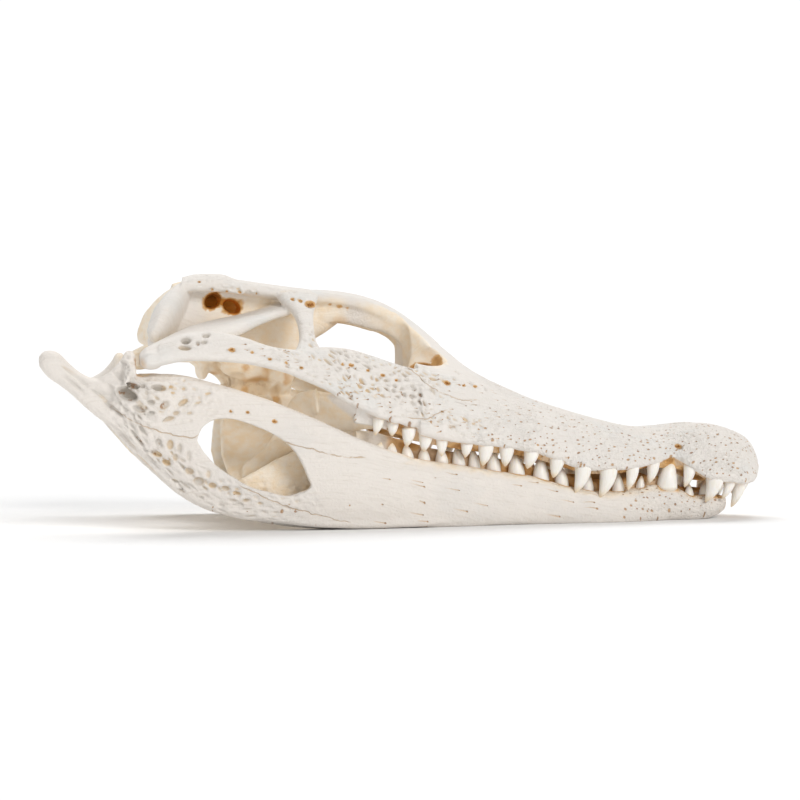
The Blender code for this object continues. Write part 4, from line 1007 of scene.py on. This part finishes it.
# Brown stains: (x, distance from the middle, z, radius, strength).
SKULL_STAINS = [
    (120.5, 0, 30, 9, 0.6), (-22.8, 6, 77, 6, 0.3), (8, 26, 58, 6, 0.8), (-23.5, 9, 84, 1.6, 0.8),
    (-20.5, 9, 83, 1.4, 0.8), (-27, 10, 84.6, 1.2, 0.7),
]
JAW_STAINS = [(-102.0, 52.0, 60.0, 6.0, 0.5)]
# Brown ovals on outer faces, as pit rows: on the jaw joint, behind the eye and in the snout's notch.
BROWN_OVALS = [
    (-103.6, 60.5, 4.4, 4.6, 0, 0.35), (-37.6, 84, 2.3, 1.3, -10, 1), (108, 29.8, 1.5, 0.95, -20, 1),
]
print("suture lines:", len(JAW_SUTURES), "on the jaw,", len(SKULL_SUTURES), "on the cheek")


# %% Rules for sutures and stains
def suture_facts(points, lines):
    """Wavy height above the nearest suture line in side view, in mm, and how much that line counts here."""
    height, counts = np.full(len(points), 9.0), np.zeros(len(points))
    wiggle = 0.4 * lumps(points, 1.8, 21) + 0.25 * lumps(points, 0.9, 22)
    for line in lines:
        x, z = through(line, 8).T
        above = points[:, 2] - np.interp(points[:, 0], x, z) + wiggle
        past = np.maximum(x.min() - points[:, 0], points[:, 0] - x.max())
        near = faded(1, (0.6, -2.0, past), (2.6, 1.3, np.abs(above)))
        height, counts = np.where(near > counts, above, height), np.maximum(near, counts)
    return height, counts


def spots(points, rows):
    """Brown stain 0..1 from rows of (x, distance from the middle, z, radius, strength)."""
    stain = np.zeros(len(points))
    for x, y, z, radius, strength in rows:
        away = np.sqrt((points[:, 0] - x) ** 2 + (np.abs(points[:, 1]) - y) ** 2 + (points[:, 2] - z) ** 2)
        stain = np.maximum(stain, strength * smooth_step(radius, radius * 0.35, away))
    return stain


def mouth_side(points, teeth, up):
    """1 on the tongue's side of a tooth row and within a few mm of the margin that carries it."""
    rows = np.array(teeth)
    line = np.interp(points[:, 0], rows[:, 0], -rows[:, 1])
    margin = np.interp(points[:, 0], rows[:, 0], rows[:, 2])
    return faded(1, (line + 0.2, line - 1.6, np.abs(points[:, 1])), (-14, -4, points[:, 0]),
                 (7, 2.5, (points[:, 2] - margin) * up))


def patchy(points, size, seed, low, high):
    """Stain strength 0..1 in soft patches."""
    return smooth_step(low, high, lumps(points, size, seed))


print("stain in the middle of a spot:", spots(np.array([[8.0, 26, 58]]), SKULL_STAINS))

# %% Facts for the skull
points, normals = vertex_places(skull)
x, y, z = points.T
side, outward, up = np.abs(y), normals[:, 1] * np.sign(y), normals[:, 2]
rise = z - profile(SKULL_BORDER, x)
near, _ = near_teeth(points, UPPER_TEETH, 1)
eye = np.array((-8.0, 0, 72.0)) + np.sign(y)[:, None] * (0, 24.6, 0) - points
facing = smooth_step(-0.1, 0.3, (eye * normals).sum(axis=1) / np.linalg.norm(eye, axis=1))
cheek_line = np.interp(x, (-60, -40, -20, -8, 10), (47.0, 46.6, 46.0, 44.4, 40.0))
# inner marks faces that look inward or down, where the tan and its painted warm light go.
inner = np.maximum.reduce([
    faded(1, (0.05, -0.35, outward), (12, 20, side), (10, -4, x)),
    0.95 * faded(1, (28, 21, side), (-90, -84, x), (-18, -26, x), (88.5, 85, z)),
    faded(0.9, (0.05, -0.4, up), (46, 36, side), (0.4, -0.1, outward)),
    faded(1, (55, 52, z), (12, 6, x), (cheek_line + 0.8, cheek_line - 0.8, side)),
    faded(0.95 * inside_oval(points, (-8, 24.6, 72), (26, 16, 26)), (54, 60, z)) * facing,
    0.85 * inside_oval(points, (4, 28, 64.5), (13, 11, 8)) * facing,
])
crags = faded(1, (-78, -70, x), (-38, -46, x), (40, 46, z), (65, 60, z), (34, 28, side))
stain = np.maximum.reduce([
    spots(points, SKULL_STAINS),
    *(inside_oval(points, c, np.array(r) + (0.2, 14, 0.2), slope) for c, r, slope in EAR_OPENINGS),
    dug(points, outward, BROWN_OVALS),
    dug(points, outward, holes_as_pits(SKULL_HOLES, 1.0)),
    *(0.8 * inside_oval(points, c, np.array(r) + (0.3, 1, 0.3), slope) for c, r, slope in TEAR_OPENINGS),
    mouth_side(points, UPPER_TEETH, 1) * (0.4 + 0.5 * patchy(points, 3.5, 71, -0.2, 0.4)),
    # Brown round the roots on faces below the margin: partly stain, partly painted shadow of the gap round
    # each socket.
    faded(0.5 * near, (-0.2, -0.7, up), (0.5, 0.1, outward)),
    0.5 * crags * patchy(points, 4.0, 72, -0.1, 0.5),
])
open_air = smooth_step(-0.2, 0.25, np.maximum(outward, up)) * (1 - inner)
dots = open_air * np.maximum.reduce([
    faded(0.4, (34, 60, x), (24, 16, rise)), faded(0.75, (16, 30, x), (7, 5.5, rise)),
    faded(0.6, (112, 122, x)), faded(0.16, (-50, -30, x), (20, 10, rise)),
])
streaks = np.maximum(
    faded(0.42 * open_air, (-2, 12, x), (76, 50, x), (30, 20, rise)),
    faded(0.6 * open_air, (-70, -56, x), (20, 8, x), (0.5, 2, rise), (15, 9, rise), (28, 36, side)))
rough = open_air * (0.25 + 0.75 * smooth_step(10, 40, x)) * (0.6 + 0.4 * lumps(points, 11.0, 51))
line, seam = suture_facts(points, SKULL_SUTURES)
tell(skull, inner=inner, stain=stain, dots=dots, streaks=streaks, rough=rough, suture=line,
     seam=faded(seam, (0, 0.3, outward)))
print("mean inner", inner.mean().round(3), "mean stain", stain.mean().round(3))

# %% Facts for the jaw
points, normals = vertex_places(jaw)
x, y, z = points.T
side, outward, up = np.abs(y), normals[:, 1] * np.sign(y), normals[:, 2]
rise = z - profile(JAW_BORDER, x)
near, _ = near_teeth(points, LOWER_TEETH, -1)
# inner marks faces that look inward, the wall seen through the window and faces that look up behind the
# teeth, where the tan and its painted warm light go.
inner = np.maximum.reduce([
    faded(1, (0.1, -0.3, outward), (2, 12, side), (-112, -100, x)),
    faded(1, (47.6, 46.4, side), (-14, -24, x), (-84, -78, x), (7, 10, z)),
    faded(0.8, (0.3, 0.8, up), (-20, 0, x)),
])
stain = np.maximum.reduce([
    spots(points, JAW_STAINS),
    dug(points, outward, holes_as_pits(JAW_HOLES, 1.0)),
    faded(0.7, (0.2, 0.7, up), (84, 96, x), (18, 14, side)),
    # Brown round the roots on faces that look up: partly stain, partly painted shadow of the gap round each
    # socket.
    faded(0.6 * near, (0.2, 0.7, up)),
    mouth_side(points, LOWER_TEETH, -1) * (0.4 + 0.5 * patchy(points, 3.5, 73, -0.2, 0.4)),
])
outer = smooth_step(0.0, 0.3, outward)
dots = outer * (faded(0.62, (74, 92, x)) + faded(0.12, (-100, -60, x), (14, 8, rise), (0, -20, x)))
streaks = faded(0.65 * outer, (-30, -5, x), (98, 84, x), (22, 15, rise))
rough = outer * (0.2 + 0.5 * smooth_step(80, 100, x))
line, seam = suture_facts(points, JAW_SUTURES)
tell(jaw, inner=inner, stain=stain, dots=dots, streaks=streaks, rough=rough, suture=line,
     seam=faded(seam, (0, 0.3, outward)))
print("jaw vertices:", len(points))

# %% [markdown]
# ## Teeth
# A crocodilian tooth is a cone, a little oval, bent back and in, with a faint swelling above the gum
# line. One tooth could be a cone with a bend modifier. For 37 different ones and their mirror images,
# the surface is a function of two numbers, how far along the bent axis and the angle round it, and the
# rows give the rest.


# %% Teeth
TOOTH_RINGS, TOOTH_AROUND, TOOTH_ROOT = 20, 18, 3.4  # the last is in mm
UPPER_INWARD, LOWER_INWARD = 1.3, 0.4  # mm from the written sockets toward the tongue


def tooth_rings(row, side, inward):
    """Rings whose centre follows a bent axis and whose radius falls as (1 - s^2)^0.72 after the gum line."""
    x, y, z, tip_x, tip_z, length = row
    y += inward
    down = 1 if tip_z > z else -1
    s = np.linspace(0, 1, TOOTH_RINGS)[:, None] ** 0.85
    root, tip = np.array((x, y, z - down * TOOTH_ROOT)), np.array((tip_x, y + 0.6, tip_z))
    bend = np.array((0.6 * (x - tip_x), -0.6, 0))
    centre = root + (tip - root) * s + bend * 4 * s * (1 - s)
    gum = TOOTH_ROOT / (TOOTH_ROOT + abs(tip_z - z))
    above = np.clip((s - 0.8 * gum) / (1 - 0.8 * gum), 0, 1)
    radius = length / 2 * (1.10 - 0.45 * smooth_step(gum, 0.5 * gum, s)) * (1.003 - above**2.0) ** 0.72
    angle = np.linspace(0, 2 * math.pi, TOOTH_AROUND, endpoint=False)
    keel = 1 + 0.05 * np.cos(2 * angle) ** 6 * np.sign(np.cos(2 * angle))
    ring = np.stack([np.cos(angle) * keel, 0.86 * np.sin(angle), 0 * angle], axis=-1)
    rings = (centre[:, None] + ring[None] * radius[:, :, None]) * (1, side, 1)
    return rings, np.repeat(above[:, 0], TOOTH_AROUND)


def teeth_piece(name, rows, inward):
    """All the teeth of one jaw as one piece, with how far each point is from its gum line."""
    made = [tooth_rings(row, side, inward) for row in rows for side in (1, -1)]
    piece = sheet_of(name, [skin(rings) for rings, _ in made])
    tell(piece, along=np.concatenate([above for _, above in made]))
    piece.data.shade_smooth()
    print(name, len(piece.data.polygons), "faces")
    return piece


upper_teeth = teeth_piece("upper_teeth", UPPER_TEETH, UPPER_INWARD)
lower_teeth = teeth_piece("lower_teeth", LOWER_TEETH, LOWER_INWARD)

# %% [markdown]
# ## Shader maths as Python
# A material is a graph of small sums. Added node by node, each sum takes several lines, and its
# meaning is lost among them. So one class wraps a socket, and the usual signs on it add Math nodes.
# Everything else goes through one method that adds any node.


# %% A socket that can be added up
class Number:
    """A number that varies over a surface: a socket of one material."""

    def __init__(self, recipe, socket):
        self.recipe, self.socket = recipe, socket

    def maths(self, operation, *others):
        return self.recipe.add("ShaderNodeMath", {"operation": operation}, dict(enumerate((self, *others))))

    def __add__(self, other):
        return self.maths("ADD", other)

    def __mul__(self, other):
        return self.maths("MULTIPLY", other)

    def __sub__(self, other):
        return self.maths("SUBTRACT", other)

    def __rsub__(self, other):
        return (self * -1.0) + other

    def __truediv__(self, other):
        return self.maths("DIVIDE", other)

    __radd__, __rmul__ = __add__, __mul__

    def size(self):
        return self.maths("ABSOLUTE")

    def at_least(self, other):
        return self.maths("MAXIMUM", other)

    def step(self, low, high):
        """Smooth step from 0 at low to 1 at high; low may be the larger."""
        ends = {"Value": self, "From Min": min(low, high), "From Max": max(low, high)}
        made = self.recipe.add("ShaderNodeMapRange", {"interpolation_type": "SMOOTHSTEP"}, ends)
        return 1 - made if low > high else made


print("besides + - * / a number has:", [name for name in vars(Number) if not name.startswith("_")])


# %% A recipe of nodes
class Recipe:
    """The nodes that lead to one shader, under construction."""

    def __init__(self, tree, shader):
        self.tree, self.shader = tree, tree.nodes[shader]

    def add(self, kind, settings, values, output=0):
        """Adds a node: its settings first, then a value or a link for each socket. Returns its outputs."""
        node = self.tree.nodes.new(kind)
        for key, value in settings.items():
            setattr(node, key, value)
        for key, value in values.items():
            if isinstance(value, Number):
                self.tree.links.new(value.socket, node.inputs[key])
            else:
                node.inputs[key].default_value = value
        if isinstance(output, tuple):
            return [Number(self, node.outputs[each]) for each in output]
        return Number(self, node.outputs[output])

    def fact(self, name):
        return self.add("ShaderNodeAttribute", {"attribute_name": name}, {}, "Fac")

    def millimetres(self):
        """Object coordinates in millimetres."""
        place = self.add("ShaderNodeTexCoord", {}, {}, "Object")
        return self.add("ShaderNodeVectorMath", {"operation": "SCALE"}, {0: place, "Scale": 1000.0})

    def noise(self, place, sizes, detail=3.0, roughness=0.55):
        """Soft noise about 0.5, with lumps of these three sizes in the units of the place."""
        scaled = self.add("ShaderNodeMapping", {}, {"Vector": place, "Scale": tuple(1 / s for s in sizes)})
        values = {"Vector": scaled, "Scale": 1.0, "Detail": detail, "Roughness": roughness}
        return self.add("ShaderNodeTexNoise", {}, values)

    def mix(self, factor, first, second):
        """Blends two colours, each a socket or three linear numbers."""
        full = [c if isinstance(c, Number) else (*c, 1.0) for c in (first, second)]
        return self.add("ShaderNodeMix", {"data_type": "RGBA"}, {0: factor, 6: full[0], 7: full[1]}, 2)

    def bump(self, height, distance):
        return self.add("ShaderNodeBump", {}, {"Height": height, "Distance": distance, "Strength": 1.0})

    def feed(self, **links):
        for socket, value in links.items():
            self.tree.links.new(value.socket, self.shader.inputs[socket.replace("_", " ")])


print("a recipe has:", [name for name in vars(Recipe) if not name.startswith("_")])


# %% Materials and colours
def new_material(name, **constants):
    """A material with these constants on its shader, and the recipe to build on."""
    material = bpy.data.materials.new(name)
    material.use_nodes = True
    recipe = Recipe(material.node_tree, "Principled BSDF")
    for socket, value in constants.items():
        recipe.shader.inputs[socket.replace("_", " ")].default_value = value
    return material, recipe


def linear(red, green, blue):
    """A screen colour of 0..255 as the linear light that shaders use."""
    return tuple(((c / 255 + 0.055) / 1.055) ** 2.4 if c > 10 else c / 3295 for c in (red, green, blue))


print("ivory in linear light:", [round(c, 3) for c in linear(238, 232, 224)])

# %% [markdown]
# ## Marks in the bone
# Nerves and vessels leave small holes, round at the tip of the snout and drawn out into a groove along
# the jaw. There are hundreds, finer than the mesh, so they are drawn in the material. They lie on a
# sheet: x, and a girth coordinate that grows both up the side and over the top. The sheet is parted
# into cells, and a cell may hold one hole, with a tail toward the rear.


# %% Marks
def marks(recipe, sheet, density, long, high, small, large, tail, shift):
    """Holes of small to large radius and their tails, 0..1, at most one to a cell of long x high mm."""
    spread = {"Vector": sheet, "Location": (shift, 0.7 * shift, 0), "Scale": (1 / long, 1 / high, 1)}
    place = recipe.add("ShaderNodeMapping", {}, spread)
    colour, centre = recipe.add("ShaderNodeTexVoronoi", {"voronoi_dimensions": "2D"},
                                {"Vector": place, "Scale": 1.0}, ("Color", "Position"))
    apart = recipe.add("ShaderNodeVectorMath", {"operation": "SUBTRACT"}, {0: place, 1: centre})
    dx, dz = recipe.add("ShaderNodeSeparateXYZ", {}, {0: apart}, (0, 1))
    chance, size = recipe.add("ShaderNodeSeparateColor", {}, {0: colour}, (0, 1))
    dx, dz = dx * long, dz * high
    radius = small + (large - small) * (size * size)
    hole = ((dx * dx * 0.5 + dz * dz).maths("SQRT") / radius).step(1.3, 0.6)
    behind = dx * -1.0
    groove = behind.step(0.0, 0.2) * behind.step(tail, 0.0) * dz.size().step(0.32, 0.05)
    here = (density - chance).step(0.0, 0.05)
    return hole * here, groove * here


# %% [markdown]
# ## Bone
# Dry bone is matt, with a faint waxy sheen on smooth faces. In one ivory it would look like plaster,
# so the tone drifts between warm and cool in patches. Nerve holes are brown, and thin brown sutures
# part the bones. Pits are painted greyer in their depth, which is painted shade. Faces that look
# inward get a tan lighter and warmer than the ivory, partly the bone's own tone and partly painted warm
# light in their shade. The deepest stains are dark on outer faces, and a lighter amber in the ear
# openings, partly stain and partly painted light in the shaded openings. A fine net and a grain along
# the bone show as bump, and the sunken cells of the net are a little darker in colour.


# %% Bone material
# PIT_SHADE_GREY is the painted shade at the bottom of the deepest pits.
GRAIN, PIT_SHADE_GREY, GROOVE, SUTURE, NET = (linear(*tone) for tone in (
    (202, 189, 172), (160, 151, 138), (206, 164, 110), (200, 162, 112), (196, 184, 168)))


def bone(name, ivory, cool, tail, lean):
    """Bone whose ivory drifts toward a cool tone, with holes whose tails have this length and this lean."""
    material, made = new_material(name, IOR=1.45, Specular_IOR_Level=0.3)
    inner, stain, pit, dots, streaks, rough, suture, seam = (
        made.fact(n) for n in ("inner", "stain", "pit", "dots", "streaks", "rough", "suture", "seam"))
    place = made.millimetres()
    x, y, z = made.add("ShaderNodeSeparateXYZ", {}, {0: place}, (0, 1, 2))
    sheet = made.add("ShaderNodeCombineXYZ", {}, {0: x, 1: z - y.size() + x * lean})
    patches = made.noise(place, (22, 16, 16), 4.0)
    mottle = made.noise(place, (3.6, 3.2, 3.2), 3.0)
    fibres = made.noise(sheet, (12.0, 0.8, 1.0), 4.0, 0.6)

    colour = made.mix(patches.step(0.48, 0.7), ivory, cool)
    colour = made.mix(fibres.step(0.5, 0.8) * 0.35, colour, GRAIN)
    # Inward faces turn a tan lighter and warmer than the ivory: partly the bone's own tone, partly painted
    # warm bounce light in their shade.
    tan = made.mix(mottle.step(0.35, 0.7), linear(254, 243, 226), linear(251, 233, 205))
    colour = made.mix(inner * 0.95, colour, tan)

    # Painted shade in the pits: darker with depth, warm on inward faces, grey at the deepest.
    shade = made.mix(patches.step(0.45, 0.6).at_least(inner), linear(212, 206, 198), linear(222, 197, 160))
    colour = made.mix(pit.step(0.12, 0.5) * (0.95 - 0.35 * inner), colour, shade)
    colour = made.mix(pit.step(0.7, 1.1) * (0.85 - 0.8 * inner), colour, PIT_SHADE_GREY)
    amber = linear(220, 178, 124)
    brown = made.mix(mottle.step(0.3, 0.7), linear(200, 150, 86), linear(146, 94, 38))
    spotted = pit.step(0.35, 0.65) * mottle.step(0.54, 0.64) * (0.7 - 0.5 * inner)
    colour = made.mix(spotted, colour, brown)
    colour = made.mix(stain.step(0.05, 0.6), colour, amber)
    colour = made.mix(stain.step(0.6, 1.0) * 0.9, colour, brown)
    # The deepest stains: dark brown on outer faces, and on inward faces, as in the ear openings, a lighter
    # amber that is partly stain and partly painted light in their shade.
    deep_stain_and_painted_light = made.mix(inner, linear(146, 86, 24), linear(236, 152, 44))
    colour = made.mix(stain.step(0.88, 1.0) * 0.8, colour, deep_stain_and_painted_light)

    dot, short = marks(made, sheet, dots, long=2.5, high=2.2, small=0.20, large=0.50, tail=0.5, shift=0.0)
    start, groove = marks(made, sheet, streaks, long=2.0 * tail, high=2.6, small=0.16, large=0.40,
                          tail=tail, shift=5.3)
    hole, groove = dot.at_least(start), short.at_least(groove)
    colour = made.mix(groove * 0.6, colour, GROOVE)
    colour = made.mix(hole * 0.75, colour, brown)
    line = suture.size().step(0.34, 0.04) * seam * mottle.step(0.25, 0.5)
    colour = made.mix(line * 0.6, colour, SUTURE)

    walls = made.add("ShaderNodeTexVoronoi", {"feature": "DISTANCE_TO_EDGE"},
                     {"Vector": place, "Scale": 0.62}, "Distance")
    net = walls.step(0.02, 0.3) * rough
    colour = made.mix(net * 0.08, colour, NET)
    height = mottle * 0.7 + fibres * 0.6 - hole * 0.4 - groove * 0.25 - line * 0.5 - net * 0.7
    made.feed(Base_Color=colour, Normal=made.bump(height, 0.45 * MM))
    made.feed(Roughness=0.5 + 0.2 * mottle + 0.1 * inner - 0.25 * stain.step(0.9, 1.0))
    return material


skull_bone = bone("skull_bone", linear(236, 230, 223), linear(231, 228, 223), 2.4, -0.25)
jaw_bone = bone("jaw_bone", linear(237, 230, 222), linear(232, 226, 219), 7.0, -0.06)
for piece, material in ((skull, skull_bone), (jaw, jaw_bone)):
    piece.data.materials.clear()
    piece.data.materials.append(material)
print("bone nodes:", len(skull_bone.node_tree.nodes))

# %% [markdown]
# ## Enamel
# Enamel is smoother and whiter than bone, and a little light passes through it. In the bone's finish
# the teeth would look chalky, so they have their own, with a thin coat and some subsurface light. Fine
# streaks run toward the tip, which has worn to a honey tone, and the collar at the gum is stained.


# %% Enamel material
def enamel(name):
    """Smooth white, faintly streaked along the tooth, browner at the gum and honey at the tip."""
    material, made = new_material(name, Roughness=0.35, IOR=1.5, Coat_Weight=0.15, Coat_Roughness=0.25,
                                  Subsurface_Weight=0.15, Subsurface_Scale=0.0015,
                                  Subsurface_Radius=(1.0, 0.8, 0.5))
    along = made.fact("along")
    streak = made.noise(made.millimetres(), (0.6, 0.6, 6.0))
    colour = made.mix(streak.step(0.4, 0.75) * 0.5, linear(249, 245, 238), linear(240, 231, 215))
    colour = made.mix(along.step(0.65, 1.0) * 0.7, colour, linear(224, 196, 148))
    colour = made.mix(along.step(0.12, 0.0) * 0.6, colour, linear(220, 202, 172))
    made.feed(Base_Color=colour, Normal=made.bump(streak, 0.06 * MM))
    return material


tooth_enamel = enamel("tooth_enamel")
for piece in (upper_teeth, lower_teeth):
    piece.data.materials.append(tooth_enamel)
print("enamel on", upper_teeth.name, "and", lower_teeth.name)

# %% [markdown]
# ## Floor and light
# A white floor and a dim surround, bright only low behind the skull, as a lit backdrop would be. Two
# broad lights stand for the soft boxes of a studio. Area lamps would fade across the floor, so both
# are suns that are softened over a wide angle. One hangs above and a little behind, and darkens the
# floor just in front of the jaw. The other shines from in front, onto the side that is seen.


# %% Floor and light
FLOOR_REACH = 6  # metres each way


def white_floor():
    """One large square at the floor's height."""
    mesh = bpy.data.meshes.new("floor")
    corners = [(FLOOR_REACH * x, FLOOR_REACH * y, 0) for x, y in ((-1, -1), (1, -1), (1, 1), (-1, 1))]
    mesh.from_pydata(corners, [], [(0, 1, 2, 3)])
    material, paper = new_material("floor_paper", Roughness=0.9, Specular_IOR_Level=0.1)
    cloud = paper.noise(paper.millimetres(), (300, 300, 300), 2.0)
    paper.feed(Base_Color=paper.mix(cloud, linear(253, 253, 253), linear(250, 250, 250)))
    mesh.materials.append(material)
    return put_in_scene("floor", mesh)


def broad_sun(name, toward, softness, strength):
    """Parallel light that shines along a direction, with shadows softened over some degrees."""
    lamp = bpy.data.lights.new(name, "SUN")
    lamp.energy, lamp.angle = strength, math.radians(softness)
    put_in_scene(name, lamp).rotation_euler = Vector(toward).to_track_quat("-Z", "Y").to_euler()


floor = white_floor()
world = bpy.data.worlds.new("surround")
bpy.context.scene.world = world
world.use_nodes = True
sky = Recipe(world.node_tree, "Background")
direction = sky.add("ShaderNodeTexCoord", {}, {}, "Generated")
back, up = sky.add("ShaderNodeSeparateXYZ", {}, {0: direction}, (1, 2))
sky.feed(Strength=0.38 + up.step(0.45, 0.25) * back.step(-0.1, 0.2) * 0.68)
sky.shader.inputs["Color"].default_value = (1, 1, 1, 1)
broad_sun("top_light", toward=(0.05, -0.45, -1.0), softness=45, strength=1.55)
broad_sun("front_light", toward=(-0.45, 1.0, -0.62), softness=25, strength=1.3)
bpy.context.scene.view_settings.view_transform = "Standard"

# %% [markdown]
# ## The pieces on the frame
# The teeth could be joined to their bones, but a piece with one finish is easier to change. Each piece
# rides on the one body, and the solid it stands for is hidden.

# %% Pieces on the frame
for piece, node, slot in ((skull, "cranium", "cranium_bone"), (jaw, "mandible", "jaw_bone"),
                          (upper_teeth, "cranium", "cranium_bone"), (lower_teeth, "mandible", "jaw_bone")):
    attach(piece, "root")
    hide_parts(node)
